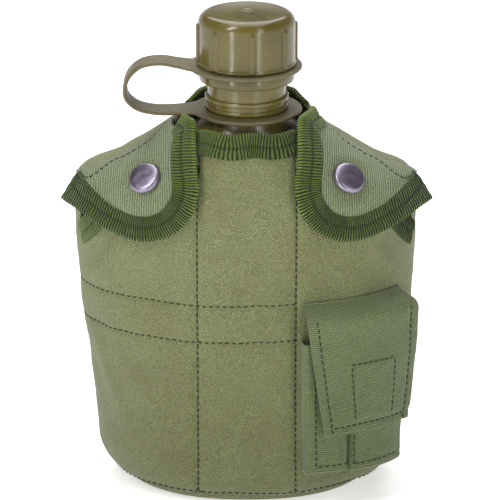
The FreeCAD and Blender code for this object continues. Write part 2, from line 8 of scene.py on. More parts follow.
import bpy
import numpy as np
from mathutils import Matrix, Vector, noise


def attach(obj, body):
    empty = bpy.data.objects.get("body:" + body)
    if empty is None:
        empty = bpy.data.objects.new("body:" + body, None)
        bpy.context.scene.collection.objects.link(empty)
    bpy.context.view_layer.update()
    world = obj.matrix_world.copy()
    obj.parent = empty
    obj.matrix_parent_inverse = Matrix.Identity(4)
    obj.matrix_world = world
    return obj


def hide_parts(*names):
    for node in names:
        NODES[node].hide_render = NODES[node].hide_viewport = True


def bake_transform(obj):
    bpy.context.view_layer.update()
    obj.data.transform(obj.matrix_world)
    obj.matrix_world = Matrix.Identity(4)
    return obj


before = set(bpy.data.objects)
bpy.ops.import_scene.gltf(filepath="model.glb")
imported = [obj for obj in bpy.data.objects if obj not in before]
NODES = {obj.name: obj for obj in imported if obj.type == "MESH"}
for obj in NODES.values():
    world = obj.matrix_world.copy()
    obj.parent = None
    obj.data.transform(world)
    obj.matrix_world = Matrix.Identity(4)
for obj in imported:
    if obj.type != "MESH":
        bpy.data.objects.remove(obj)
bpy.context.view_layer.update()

MM = 0.001
MIRROR = np.array([-1, 1, 1])
SIDES = ((1, "right"), (-1, "left"))
DOWN = np.array([0, 0, -1.0])

# ---- studio: glow of the paper and the surroundings, then (name, place, width, height, watts) ----
FLOOR = 9.0                      # metres from the middle to the floor's edge
FLOOR_GLOW = 0.52
WORLD_GLOW = 0.08
LIGHTS = (
    ("key", (-0.62, -0.62, 1.1), 0.24, 0.8, 7.2),
    ("fill", (0.55, -0.8, 0.65), 0.2, 0.8, 1.9),
    ("strip_left", (-0.36, -0.52, 0.17), 0.06, 0.34, 0.62),
    ("strip_right", (0.30, -0.56, 0.17), 0.04, 0.34, 0.36),
    ("top", (0.0, 0.2, 1.2), 0.9, 0.8, 7.0),
    ("back", (0.0, 1.9, 2.2), 2.4, 1.6, 34.0),
)
LIGHT_AIM = Vector((0, 0, 0.11))
LENS = 240.7
CAMERA_SHIFT = (0.0064, 0.0106)
CAMERA_AT = Vector((0.0, -1.4, 0.602))
CAMERA_AIM = Vector((0, 0, 0.105))

# ---- the cover's envelope, as the CAD has it ----
SQUARE = 2.4
BOW = 9.0
TOP_HALF = 75.5
HINGE_IN, HINGE_OUT = np.array([33.0, -9.0, 171.5]), np.array([76.0, -5.0, 145.8])
SIDE_SEAM_Y = 12.0
FRONT_SEAM_X = 21.5
# (height, half width, front depth, back depth)
SHOULDERS = np.array([
    (115.0, 75.5, 40.0, 34.0), (138.0, 75.6, 39.6, 34.0), (144.0, 72.0, 38.6, 33.8),
    (150.0, 58.0, 36.6, 33.4), (156.0, 48.0, 34.2, 33.0), (162.0, 39.0, 31.8, 32.5),
    (168.0, 31.0, 29.0, 32.0), (174.0, 26.0, 26.5, 31.5), (180.0, 23.5, 24.5, 31.0),
])

# ---- cloth, tape and trim ----
CLOTH_THICK = 1.1
CLOTH_BOTTOM_Z = 3.6
BASE_STITCH_Z = 6.4
BINDING_WIDTH = 10.5
BINDING_STEPS = 12
RIB_PITCH = 1.25
SCALLOP = 0.35
# (distance in from the edge, height about the middle) round a folded tape as wide as FOLD_WIDTH
FOLD_WIDTH = 11.0
FOLD = (
    (11.0, 0.75), (10.2, 1.05), (8.4, 1.12), (6.8, 1.05), (5.8, 0.72), (4.8, 1.02), (3.2, 1.2), (1.6, 1.25),
    (0.5, 1.05), (-0.25, 0.55), (-0.45, 0.0), (-0.25, -0.55), (0.5, -0.95), (2.5, -1.05), (6.0, -1.0),
    (11.0, -0.95),
)
SNAP_X, SNAP_Z = 42.5, 148.0
# (radius, height) from the middle of the cap over its rim to the back
SNAP_DOME = (
    (0.0, 6.2), (1.5, 6.19), (3.0, 6.14), (4.4, 6.05), (5.4, 5.94), (6.1, 5.78), (6.5, 5.6), (6.85, 5.25),
    (7.1, 4.8), (7.28, 4.4), (7.3, 4.15), (7.15, 3.95), (6.6, 3.85), (3.0, 3.8), (1.9, 3.75), (1.9, 2.3),
    (0.0, 2.3),
)

# ---- pocket flap: width of its cloth, then its stitching, measured across from its inner side ----
POCKET_WIDTH = 46.0
POCKET_HEMS = (3.6, 4.2)
POCKET_HEM_Z = 41.2
POCKET_BOX = (14.5, 33.5)
POCKET_BOX_TOP = 69.5

# ---- tether ----
STRAP_THICK = 1.7
STRAP_STEP = 0.6
STRAP_LINE = (
    (-20.5, 192.9), (-25.0, 193.1), (-31.0, 194.2), (-38.0, 195.2), (-46.0, 193.7), (-51.4, 188.9),
    (-53.2, 183.0), (-52.0, 178.2), (-47.2, 174.4), (-39.5, 172.75), (-31.0, 172.75), (-25.0, 173.1),
    (-20.5, 173.25),
)
# (height, inner radius, outer radius, shift of the outer edge) of the cap's ring and the neck's
TETHER_RINGS = ((192.9, 20.3, 24.9, -0.6), (173.25, 17.5, 24.3, 0.0))

# ---- back ----
HANGER_X = 30.0
HANGER_Z = (78.0, 152.0)
HANGER_LINE = (
    (78.0, 35.0), (86.0, 35.2), (89.5, 35.3), (92.5, 38.0), (94.0, 38.9), (98.0, 39.1), (115.0, 39.2),
    (132.0, 39.1), (136.0, 38.9), (137.5, 38.0), (140.5, 35.3), (144.0, 35.2), (152.0, 35.0),
)
HANGER_BOXES = ((79.5, 87.5), (142.5, 150.5))


def smooth_profile():
    """Dense heights with half width, front depth and back depth, smoothed through the shoulder stations."""
    low = np.arange(0.0, 115.0, 0.5)
    k = 1 - np.sqrt(1 - np.clip(1 - low / 21.0, 0, 1) ** 2)
    rows = [np.stack([low, 65.5 + 10 * low / 115 - 23 * k, 40 - 11 * k, 34 - 11 * k], 1)]
    z, v = SHOULDERS[:, 0], SHOULDERS[:, 1:]
    step = np.diff(z)[:, None]
    slope = np.diff(v, axis=0) / step
    tangent = np.zeros_like(v)
    for i in range(1, len(z) - 1):
        same = slope[i - 1] * slope[i] > 0
        mean = 2 * slope[i - 1] * slope[i] / np.where(same, slope[i - 1] + slope[i], 1)
        tangent[i] = np.where(same, mean, 0)
    tangent[-1] = slope[-1]
    for i in range(len(z) - 1):
        t = np.arange(0, 1, 0.5 / step[i, 0])[:, None]
        h = step[i, 0]
        value = ((2 * t ** 3 - 3 * t ** 2 + 1) * v[i] + (t ** 3 - 2 * t ** 2 + t) * h * tangent[i]
                 + (-2 * t ** 3 + 3 * t ** 2) * v[i + 1] + (t ** 3 - t ** 2) * h * tangent[i + 1])
        rows.append(np.concatenate([z[i] + t * h, value], 1))
    rows.append(SHOULDERS[-1:])
    return np.concatenate(rows)


PROFILE = smooth_profile()


def profile(z):
    return [np.interp(z, PROFILE[:, 0], PROFILE[:, i]) for i in (1, 2, 3)]


def level(p):
    """0 on the envelope, negative inside it."""
    half, front, back = profile(p[..., 2])
    y = p[..., 1] - BOW * (p[..., 0] / TOP_HALF) ** 2
    depth = np.where(y < 0, front, back)
    return (np.abs(p[..., 0]) / half) ** SQUARE + (np.abs(y) / depth) ** SQUARE - 1


def unit(v):
    return v / np.linalg.norm(v, axis=-1, keepdims=True)


def outward(p):
    """Unit normals of the envelope's level surfaces."""
    e = 0.2
    g = np.stack([level(p + d) - level(p - d) for d in np.eye(3) * e], -1)
    return g / np.maximum(np.linalg.norm(g, axis=-1, keepdims=True), 1e-9)


def onto(p, core):
    """The envelope's points on the rays from core through p."""
    ray = p - core
    low, high = np.full(p.shape[:-1], 0.02), np.full(p.shape[:-1], 4.0)
    for _ in range(40):
        middle = (low + high) / 2
        inside = level(core + ray * middle[..., None]) < 0
        low, high = np.where(inside, middle, low), np.where(inside, high, middle)
    return core + ray * low[..., None]


def settle(p):
    """Points near the envelope, moved onto it along its normal."""
    for _ in range(4):
        n = outward(p)
        slope = (level(p + n * 0.1) - level(p - n * 0.1)) / 0.2
        p = p - n * np.clip(level(p) / np.maximum(slope, 1e-4), -3, 3)[..., None]
    return p


def front_point(x, z):
    half, front, _ = profile(z)
    share = np.clip(np.abs(x) / half, 0, 0.9995)
    y = BOW * (x / TOP_HALF) ** 2 - front * (1 - share ** SQUARE) ** (1 / SQUARE)
    return np.stack([x, y, z + 0 * x], -1)


def section_curve(z, count=1441):
    """Half of one level section from the middle of the front round to the middle of the back."""
    half, front, back = profile(z)
    a = np.linspace(-math.pi / 2, math.pi / 2, count)
    x = half * np.cos(a).clip(0) ** (2 / SQUARE)
    depth = np.where(a < 0, front, back)
    y = depth * np.sign(a) * np.abs(np.sin(a)) ** (2 / SQUARE) + BOW * (x / TOP_HALF) ** 2
    run = np.concatenate([[0], np.cumsum(np.hypot(np.diff(x), np.diff(y)))])
    return x, y, run


def section_points(z, s):
    """Points at the lengths s round the level section at z; negative lengths are on the left."""
    x, y, run = section_curve(z)
    across = np.interp(np.abs(s), run, x) * np.sign(s)
    return np.stack([across, np.interp(np.abs(s), run, y), np.full(len(s), z)], -1)


# ---- mesh helpers ----
def make_object(name, points, faces, uvs=None, materials=(), face_material=None):
    mesh = bpy.data.meshes.new(name)
    mesh.from_pydata((np.asarray(points) * MM).tolist(), [], [list(map(int, f)) for f in faces])
    if uvs is not None:
        layer = mesh.uv_layers.new(name="cloth")
        corners = np.zeros(len(mesh.loops), np.int32)
        mesh.loops.foreach_get("vertex_index", corners)
        layer.data.foreach_set("uv", np.asarray(uvs, np.float32)[corners].ravel())
    for material in materials:
        mesh.materials.append(material)
    if face_material is not None:
        mesh.polygons.foreach_set("material_index", np.asarray(face_material, np.int32))
    mesh.polygons.foreach_set("use_smooth", np.ones(len(mesh.polygons), bool))
    mesh.update()
    obj = bpy.data.objects.new(name, mesh)
    bpy.context.scene.collection.objects.link(obj)
    return obj


def quads(rows, cols, start=0, flip=False, wrap=False):
    r = np.arange(rows - 1)[:, None]
    c = np.arange(cols if wrap else cols - 1)[None, :]
    a = start + r * cols + c
    b = start + r * cols + (c + 1) % cols
    f = np.stack([a, b, b + cols, a + cols], -1).reshape(-1, 4)
    return f[:, ::-1] if flip else f


def end_caps(stations, around, start=0):
    """The two faces that close a tube of rings."""
    last = start + (stations - 1) * around
    return [list(range(start, start + around))[::-1], list(range(last, last + around))]


def border(rows, cols):
    top = list(range(cols))
    right = [r * cols + cols - 1 for r in range(1, rows)]
    bottom = [(rows - 1) * cols + c for c in range(cols - 2, -1, -1)]
    left = [r * cols for r in range(rows - 2, 0, -1)]
    return np.array(top + right + bottom + left)


def grid_normals(p):
    du = np.gradient(p, axis=1)
    dv = np.gradient(p, axis=0)
    n = np.cross(du, dv)
    return n / np.maximum(np.linalg.norm(n, axis=-1, keepdims=True), 1e-9)


def shell(name, outer, inner, uv, material):
    """A closed thin shell between two grids of points."""
    rows, cols = outer.shape[:2]
    count = rows * cols
    flip = np.sum(grid_normals(outer)[rows // 2, cols // 2] * (outer - inner)[rows // 2, cols // 2]) < 0
    edge = border(rows, cols)
    after = np.roll(edge, -1)
    side = np.stack([edge, edge + count, after + count, after], -1)
    faces = np.concatenate([quads(rows, cols, 0, flip), quads(rows, cols, count, not flip),
                            side[:, ::-1] if flip else side])
    points = np.concatenate([outer.reshape(-1, 3), inner.reshape(-1, 3)])
    uvs = np.concatenate([uv.reshape(-1, 2)] * 2)
    return make_object(name, points, faces, uvs, [material])


def tube_grid(name, rings, uv, material):
    """A closed tube from rings of points, (stations, around, 3)."""
    stations, around = rings.shape[:2]
    faces = quads(stations, around, wrap=True).tolist() + end_caps(stations, around)
    return make_object(name, rings.reshape(-1, 3), faces, uv.reshape(-1, 2), [material])


def smoothstep(low, high, x):
    t = np.clip((x - low) / (high - low), 0, 1)
    return t * t * (3 - 2 * t)


def bell(distance, width):
    return np.exp(-(distance / width) ** 2)


def groove(distance, depth, width):
    return -depth * bell(distance, width)


def running(path):
    """Length along a line of points, from 0 at its start."""
    return np.concatenate([[0], np.cumsum(np.linalg.norm(np.diff(path, axis=0), axis=1))])


def sample(path, run, at):
    """The line's points at the lengths given by at."""
    return np.stack([np.interp(at, run, path[:, i]) for i in range(3)], -1)


def ripple(p, scale, seed):
    """Smooth noise, about -1 to 1, at each point."""
    flat = p.reshape(-1, 3) / scale + seed * 17.3
    return np.array([noise.noise(Vector(q)) for q in flat]).reshape(p.shape[:-1]) * 1.6


def arc_uv(p):
    """Cloth coordinates in millimetres measured along a grid of points."""
    du = np.linalg.norm(np.diff(p, axis=1), axis=-1)
    dv = np.linalg.norm(np.diff(p, axis=0), axis=-1)
    u = np.concatenate([np.zeros((p.shape[0], 1)), np.cumsum(du, 1)], 1)
    v = np.concatenate([np.zeros((1, p.shape[1])), np.cumsum(dv, 0)], 0)
    u = u - u[:, [p.shape[1] // 2]]
    return np.stack([u, v], -1)


def place(obj, body, slot, *nodes):
    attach(obj, body)
    if nodes:
        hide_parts(*nodes)
    return obj


# ---- materials ----
class Shade:
    """A small helper that wires a Principled material."""

    def __init__(self, name, **values):
        self.material = bpy.data.materials.new(name)
        self.material.use_nodes = True
        self.tree = self.material.node_tree
        self.out = self.tree.nodes["Principled BSDF"]
        for key, value in values.items():
            self.out.inputs[key.replace("_", " ")].default_value = value

    def node(self, kind, **settings):
        node = self.tree.nodes.new(kind)
        for key, value in settings.items():
            if hasattr(node, key):
                setattr(node, key, value)
            else:
                node.inputs[key.replace("_", " ")].default_value = value
        return node

    def link(self, a, b):
        self.tree.links.new(a, b)

    def math(self, operation, a, b=0.0):
        node = self.node("ShaderNodeMath", operation=operation)
        for i, value in enumerate((a, b)):
            if isinstance(value, (int, float)):
                node.inputs[i].default_value = value
            else:
                self.link(value, node.inputs[i])
        return node.outputs[0]

    def mix(self, factor, a, b, blend="MIX"):
        node = self.node("ShaderNodeMix", data_type="RGBA", blend_type=blend)
        for socket, value in ((node.inputs[0], factor), (node.inputs[6], a), (node.inputs[7], b)):
            if isinstance(value, (int, float)):
                socket.default_value = value
            elif isinstance(value, tuple):
                socket.default_value = (*value, 1.0)
            else:
                self.link(value, socket)
        return node.outputs[2]

    def noise(self, scale, detail, roughness=0.55):
        node = self.node("ShaderNodeTexNoise", Scale=scale, Detail=detail, Roughness=roughness)
        self.link(self.node("ShaderNodeTexCoord").outputs["Object"], node.inputs["Vector"])
        return node.outputs["Fac"]

    def bump(self, height, distance, strength):
        node = self.node("ShaderNodeBump", Strength=strength, Distance=distance)
        self.link(height, node.inputs["Height"])
        return node.outputs["Normal"]

    def range(self, value, low, high, to_low, to_high):
        node = self.node("ShaderNodeMapRange")
        self.link(value, node.inputs[0])
        for i, v in enumerate((low, high, to_low, to_high)):
            node.inputs[i + 1].default_value = v
        return node.outputs[0]

    def uv(self, degrees=0.0):
        coordinates = self.node("ShaderNodeUVMap", uv_map="cloth").outputs[0]
        if degrees:
            turn = self.node("ShaderNodeVectorRotate", rotation_type="Z_AXIS", Angle=math.radians(degrees))
            self.link(coordinates, turn.inputs["Vector"])
            coordinates = turn.outputs[0]
        split = self.node("ShaderNodeSeparateXYZ")
        self.link(coordinates, split.inputs[0])
        return split.outputs[0], split.outputs[1]

    def waves(self, coordinate, pitch):
        return self.math("SINE", self.math("MULTIPLY", coordinate, 2 * math.pi / pitch))


def linear(r, g, b):
    """8-bit sRGB to linear."""
    return tuple((c / 255 / 12.92 if c <= 10.3 else ((c / 255 + 0.055) / 1.055) ** 2.4) for c in (r, g, b))


def woven(name, dark, light, pitch, degrees, tint, relief=0.00016, sheen=0.2, lines=0.0):
    """Coated plain-weave polyester: beads in a checker, or mostly lines, with soft mottling and painted shade
    that darkens the cloth toward the base.
    """
    s = Shade(name, Roughness=0.78, Sheen_Weight=sheen, Sheen_Roughness=0.5, Specular_IOR_Level=0.28)
    u, v = s.uv(degrees)
    slub = s.range(s.noise(260.0, 2.0), 0.3, 0.7, -0.12, 0.12)
    warp, weft = s.waves(s.math("ADD", u, slub), pitch), s.waves(s.math("ADD", v, slub), pitch)
    weave = s.math("MULTIPLY", warp, weft)
    if lines:
        weave = s.math("ADD", s.math("MULTIPLY", weave, 1 - lines), s.math("MULTIPLY", warp, lines))
    threads = s.range(weave, -0.7, 0.8, 0.0, 1.0)
    fine = s.noise(1400.0, 2.0)
    beads = s.math("ADD", threads, s.range(fine, 0.3, 0.7, -0.25, 0.25))
    colour = s.mix(beads, dark, light)
    mottle = s.range(s.noise(42.0, 4.0), 0.35, 0.68, 0.0, 0.55)
    colour = s.mix(mottle, colour, s.mix(1.0, colour, tint, "MULTIPLY"))
    place_in_room = s.node("ShaderNodeSeparateXYZ")
    s.link(s.node("ShaderNodeTexCoord").outputs["Object"], place_in_room.inputs[0])
    # painted shade: the colour is multiplied darker toward the base by height, standing in for the lower body
    # getting less light
    wear_and_shade = s.range(place_in_room.outputs[2], 0.0, 0.14, 1.0, 0.0)
    colour = s.mix(wear_and_shade, colour, s.mix(1.0, colour, (0.68, 0.68, 0.64), "MULTIPLY"))
    s.link(colour, s.out.inputs["Base Color"])
    s.link(s.bump(weave, relief, 0.85), s.out.inputs["Normal"])
    return s.material


def ribbed(name, dark, light, edge, pitch, width):
    """Grosgrain tape: cross ribs, a paler overlocked edge and a darker line where it is stitched."""
    s = Shade(name, Roughness=0.8, Sheen_Weight=0.25, Sheen_Roughness=0.4, Specular_IOR_Level=0.25)
    u, v = s.uv()
    ribs = s.waves(s.math("ADD", u, s.range(s.noise(300.0, 2.0), 0.3, 0.7, -0.2, 0.2)), pitch)
    colour = s.mix(s.range(ribs, -0.75, 0.7, 0.0, 1.0), dark, light)
    near_edge = s.math("MULTIPLY", s.range(v, 0.3, 1.3, 0.8, 0.0), s.range(ribs, -0.4, 0.6, 0.0, 1.0))
    colour = s.mix(near_edge, colour, edge)
    seam = s.range(s.math("ABSOLUTE", s.math("SUBTRACT", v, 0.52 * width)), 0.2, 0.9, 0.55, 0.0)
    colour = s.mix(seam, colour, dark)
    patch = s.range(s.noise(60.0, 3.0), 0.4, 0.7, 0.0, 0.45)
    colour = s.mix(patch, colour, s.mix(1.0, colour, (0.6, 0.62, 0.5), "MULTIPLY"))
    s.link(colour, s.out.inputs["Base Color"])
    s.link(s.bump(ribs, 0.0002, 0.8), s.out.inputs["Normal"])
    return s.material


def moulded(name, colour, shade, roughness, coat=0.12):
    """Moulded olive polyethylene: faint flow mottling, a fine mould texture and slightly uneven gloss."""
    s = Shade(name, Specular_IOR_Level=0.5, Coat_Weight=coat, Coat_Roughness=0.25)
    flow = s.range(s.noise(55.0, 4.0), 0.35, 0.65, 0.0, 1.0)
    s.link(s.mix(flow, colour, shade), s.out.inputs["Base Color"])
    grain = s.noise(2400.0, 2.0)
    gloss = s.range(s.noise(320.0, 3.0), 0.3, 0.7, roughness - 0.05, roughness + 0.08)
    s.link(gloss, s.out.inputs["Roughness"])
    s.link(s.bump(grain, 0.00003, 0.5), s.out.inputs["Normal"])
    return s.material


def metal(name, colour, wear_and_shade, roughness, metallic, wear_scale):
    s = Shade(name, Metallic=metallic, Specular_IOR_Level=0.5)
    scuffs = s.range(s.noise(wear_scale, 5.0, 0.7), 0.52, 0.72, 0.0, 0.5)
    s.link(s.mix(scuffs, colour, wear_and_shade), s.out.inputs["Base Color"])
    s.link(s.range(s.noise(wear_scale * 2, 4.0), 0.3, 0.7, roughness - 0.05, roughness + 0.1),
           s.out.inputs["Roughness"])
    s.link(s.bump(s.noise(wear_scale * 5, 3.0), 0.00002, 0.4), s.out.inputs["Normal"])
    return s.material


def pile(name, dark, light):
    """Dark acrylic pile."""
    s = Shade(name, Roughness=0.95, Sheen_Weight=0.4, Specular_IOR_Level=0.1)
    tufts = s.noise(900.0, 4.0, 0.7)
    s.link(s.mix(s.range(tufts, 0.35, 0.65, 0.0, 1.0), dark, light), s.out.inputs["Base Color"])
    s.link(s.bump(tufts, 0.0008, 1.0), s.out.inputs["Normal"])
    return s.material


BODY_CLOTH = woven("body_cloth", linear(62, 68, 36), linear(166, 172, 122), 1.16, 0.0, (0.80, 0.73, 0.64))
FLAP_CLOTH = woven("flap_cloth", linear(74, 84, 56), linear(148, 158, 124), 0.98, 0.0, (0.88, 0.88, 0.82),
                   lines=0.6)
POCKET_CLOTH = woven("pocket_cloth", linear(66, 76, 44), linear(138, 150, 106), 0.98, 90.0,
                     (0.84, 0.86, 0.78), lines=0.5)
TAPE = ribbed("tape", linear(26, 36, 12), linear(96, 112, 54), linear(122, 142, 62), 1.25, 11.0)
OLIVE = moulded("olive_plastic", linear(116, 106, 52), linear(100, 90, 42), 0.24)
OLIVE_CAP = moulded("olive_cap", linear(102, 92, 44), linear(88, 78, 36), 0.16)
TETHER_PLASTIC = moulded("tether_plastic", linear(108, 100, 70), linear(96, 88, 58), 0.44, 0.0)
THREAD = woven("thread", linear(24, 38, 12), linear(62, 80, 34), 0.5, 30.0, (0.8, 0.8, 0.8), 0.0001, 0.1)
SNAP = metal("snap_lacquer", linear(142, 134, 152), linear(176, 168, 186), 0.3, 0.9, 160.0)
KEEPER = metal("keeper_steel", linear(44, 46, 41), linear(70, 72, 66), 0.42, 0.8, 700.0)
LINING = pile("lining_pile", linear(16, 20, 10), linear(52, 58, 36))
WEBBING = ribbed("webbing", linear(52, 62, 34), linear(112, 122, 82), linear(96, 106, 66), 1.1, 24.0)
TOUCH = pile("touch_tape", linear(40, 48, 26), linear(96, 106, 68))
SEAL = moulded("seal_rubber", linear(178, 172, 158), linear(160, 154, 140), 0.6)


# ---- stitches ----
class Stitches:
    """Thread segments laid along lines on the cloth, gathered into one mesh per body."""

    def __init__(self):
        self.points, self.faces, self.uvs = [], [], []

    def line(self, path, normals, pitch=3.0, length=2.5, radius=0.33):
        """path is (n, 3) with the cloth's normals; stitches sit half sunk along it."""
        run = running(path)
        for start in np.arange(0.4, run[-1] - length, pitch):
            at = np.linspace(start, start + length, 5)
            p, n = sample(path, run, at), sample(normals, run, at)
            n = unit(n)
            t = np.gradient(p, axis=0)
            t = unit(t)
            b = np.cross(t, n)
            bend = np.array([-0.7, 0.35, 0.6, 0.35, -0.7])
            size = np.array([0.35, 0.9, 1.0, 0.9, 0.35])
            base = len(self.points) * 30
            rings = []
            for k in range(5):
                centre = p[k] + n[k] * (radius * bend[k])
                for j in range(6):
                    a = math.pi * j / 3
                    rings.append(centre + (b[k] * math.cos(a) * 1.15 + n[k] * math.sin(a)) * radius * size[k])
            self.points.append(np.array(rings))
            self.faces += quads(5, 6, base, wrap=True).tolist() + end_caps(5, 6, base)
            self.uvs.append(np.stack(np.meshgrid(np.arange(6) * 0.3, at), -1).reshape(-1, 2))

    def build(self, name, body, slot):
        obj = make_object(name, np.concatenate(self.points), self.faces, np.concatenate(self.uvs), [THREAD])
        return place(obj, body, slot)


# ---- cover panels ----
TABLE_Z = np.arange(3.0, 178.01, 0.5)


def panel_table(kind, columns):
    """(height, column, xy) for one panel's columns, evenly spaced along each level section."""
    u = np.linspace(0, 1, columns)
    table = np.zeros((len(TABLE_Z), columns, 2))
    for i, z in enumerate(TABLE_Z):
        x, y, run = section_curve(z)
        front_half = np.arange(len(x)) < len(x) // 2
        at_seam = np.interp(min(FRONT_SEAM_X, x.max() * 0.98), x[front_half], run[front_half])
        at_side = np.interp(side_limit(z, kind), y, run)
        if kind == "middle":
            s = (2 * u - 1) * at_seam
        elif kind == "side":
            s = at_seam + (at_side - at_seam) * u
        else:
            s = at_side + (2 * run[-1] - 2 * at_side) * u
        mirrored = np.where(s < 0, -1, 1) * np.where(s > run[-1], -1, 1)
        s = np.abs(np.where(s > run[-1], 2 * run[-1] - s, s))
        table[i, :, 0] = np.interp(s, run, x) * mirrored
        table[i, :, 1] = np.interp(s, run, y)
    return table


def side_limit(z, kind):
    """How far back a section's front part goes: the side seam, or the flap's hinge plane higher up."""
    if kind != "back":
        return SIDE_SEAM_Y
    t = smoothstep(115.0, 121.0, z)
    hinge = np.interp(z, (145.8, 171.5), (HINGE_OUT[1], HINGE_IN[1]))
    return SIDE_SEAM_Y * (1 - t) + (hinge + 1.0) * t


FRONT_EDGE = np.array([(0.0, 170.0), (23.0, 170.0), (62.0, 143.0), (77.0, 117.0), (110.0, 117.0)])


def edge_height(x, drop=0.0):
    """Height of the front's free edge, drawn in by drop, with its corners eased."""
    taps = np.linspace(-4, 4, 9)
    ax = np.abs(x)[..., None] + taps
    slope_drop = drop * np.interp(np.abs(x), (20, 26, 60, 66, 80), (1, 1.2, 1.2, 2.0, 2.0))
    return np.interp(np.abs(ax), FRONT_EDGE[:, 0], FRONT_EDGE[:, 1]).mean(-1) - slope_drop


def trimmed_grid(table, top_of, bottom_z, rows):
    """Rows of points from bottom_z up to each column's own top, with z added."""
    columns = table.shape[1]
    grid = np.zeros((rows, columns, 3))
    for c in range(columns):
        x, y = table[:, c, 0], table[:, c, 1]
        over = TABLE_Z - top_of(x, y, TABLE_Z)
        crossing = np.argmax(over > 0)
        if crossing == 0:
            top = TABLE_Z[-1]
        else:
            a, b = over[crossing - 1], over[crossing]
            top = TABLE_Z[crossing - 1] + 0.5 * a / (a - b)
        z = bottom_z + (top - bottom_z) * np.linspace(0, 1, rows)
        grid[:, c] = np.stack([np.interp(z, TABLE_Z, x), np.interp(z, TABLE_Z, y), z], -1)
    return grid


BAND_Z = (78.5, 95.5)


def cloth_relief(p, kind):
    """How far the body's cloth stands off the envelope: seams, fullness between them, soft creases."""
    x, y, z = p[..., 0], p[..., 1], p[..., 2]
    ax = np.abs(x)
    relief = np.zeros_like(x)
    if kind != "back":
        relief += groove(ax - FRONT_SEAM_X, 0.75, 1.5)
        beside = smoothstep(FRONT_SEAM_X - 1, FRONT_SEAM_X + 3, ax)
        relief += 0.5 * bell(ax - FRONT_SEAM_X - 5, 3.5) * beside
        left_of_pocket = 1 - smoothstep(22.0, 25.0, x)
        for z_line in BAND_Z:
            pucker = 0.35 * np.sin(x * 0.55 + z_line) * bell(z - z_line, 4.0)
            relief += left_of_pocket * (groove(z - z_line, 0.55, 1.1) + 0.4 * pucker)
        relief += left_of_pocket * 0.3 * bell(z - np.mean(BAND_Z), 6.0)
        # hollows beside the middle's top where the flaps press the cloth down
        relief += -0.9 * bell(ax - 18, 5.5) * bell(z - 148, 13.0)
        # slanting creases that run from the flaps' corners
        slant = (ax - 60) * 0.75 + (z - 112) * 0.6
        relief += 1.3 * bell(slant, 3.2) * bell(ax - 62, 15.0) * smoothstep(90, 104, z)
        slant = (ax - 66) * 0.95 - (z - 66) * 0.35
        relief += 1.0 * bell(slant, 3.2) * bell(z - 58, 22.0)
    relief += groove(z - 4.0, 0.9, 1.6)
    relief += 0.5 * bell(z - 9.0, 4.0)
    relief += groove(y - SIDE_SEAM_Y, 0.8, 1.6) * (1 - smoothstep(116, 124, z)) * (ax > 30)
    relief += 0.9 * ripple(p * np.array([1, 1, 0.7]), 34.0, 1)
    relief += 0.3 * ripple(p, 11.0, 2)
    relief += 0.06 * ripple(p, 3.5, 3)
    return relief


def cover_panel(name, kind, columns, rows, top_of, node, side=1):
    base = trimmed_grid(panel_table(kind, columns), top_of, CLOTH_BOTTOM_Z, rows)
    if side < 0:
        base = base * MIRROR
    normals = outward(base)
    relief = cloth_relief(base, kind)
    outer = base + normals * relief[..., None]
    inner = base + normals * (np.minimum(relief, 0.2) * 0.6 - CLOTH_THICK)[..., None]
    place(shell(name, outer, inner, arc_uv(base), BODY_CLOTH), "carrier", "cover", node)


def front_top(x, y, z):
    return edge_height(x, 0.8)


def back_top(x, y, z):
    return 169.6 + 5.6 * smoothstep(13.0, 22.0, y)


def cover():
    cover_panel("front_middle_cloth", "middle", 61, 175, front_top, "front_center_panel")
    for side, word in SIDES:
        cover_panel(f"front_{word}_cloth", "side", 105, 175, front_top, word + "_front_panel", side)
    cover_panel("back_cloth", "back", 201, 165, back_top, "back_panel")
    base_panel()


def base_panel():
    """The flat sewn base with its rounded rim."""
    rings = []
    for z in (4.2, 3.4, 2.6, 1.9, 1.2, 0.6, 0.2, 0.0):
        right = section_points(z, np.linspace(0, section_curve(z)[2][-1], 91))
        left = right[-2:0:-1] * MIRROR
        rings.append(np.concatenate([right, left]))
    rim = rings[-1]
    centre = np.array([0.0, rim[:, 1].mean(), 0.0])
    for share in (0.97, 0.9, 0.75, 0.55, 0.35, 0.15, 0.03):
        rings.append(centre + (rim - centre) * share)
    outer = np.array(rings)
    outer[:8] += outward(outer[:8]) * groove(outer[:8, :, 2] - 4.0, 0.9, 1.6)[..., None]
    dent = 0.45 * (ripple(outer[8:], 30.0, 5) + 1)
    outer[8:, :, 2] += dent * np.linspace(0.2, 1, 7)[:, None]
    inner = outer.copy()
    inner[:8] -= outward(outer[:8]) * CLOTH_THICK
    inner[8:, :, 2] += CLOTH_THICK
    rows, cols = outer.shape[:2]
    count = rows * cols
    faces = np.concatenate([quads(rows, cols, 0, True, True), quads(rows, cols, count, False, True)]).tolist()
    rim_a = np.arange(cols)
    rim_b = (rim_a + 1) % cols
    faces += np.stack([rim_a, rim_b, rim_b + count, rim_a + count], -1).tolist()
    middle = list(range(count - cols, count))
    faces += [middle, [count + i for i in middle][::-1]]
    points = np.concatenate([outer.reshape(-1, 3), inner.reshape(-1, 3)])
    obj = make_object("base_cloth", points, faces, points[:, :2], [BODY_CLOTH])
    place(obj, "carrier", "cover", "bottom_panel")


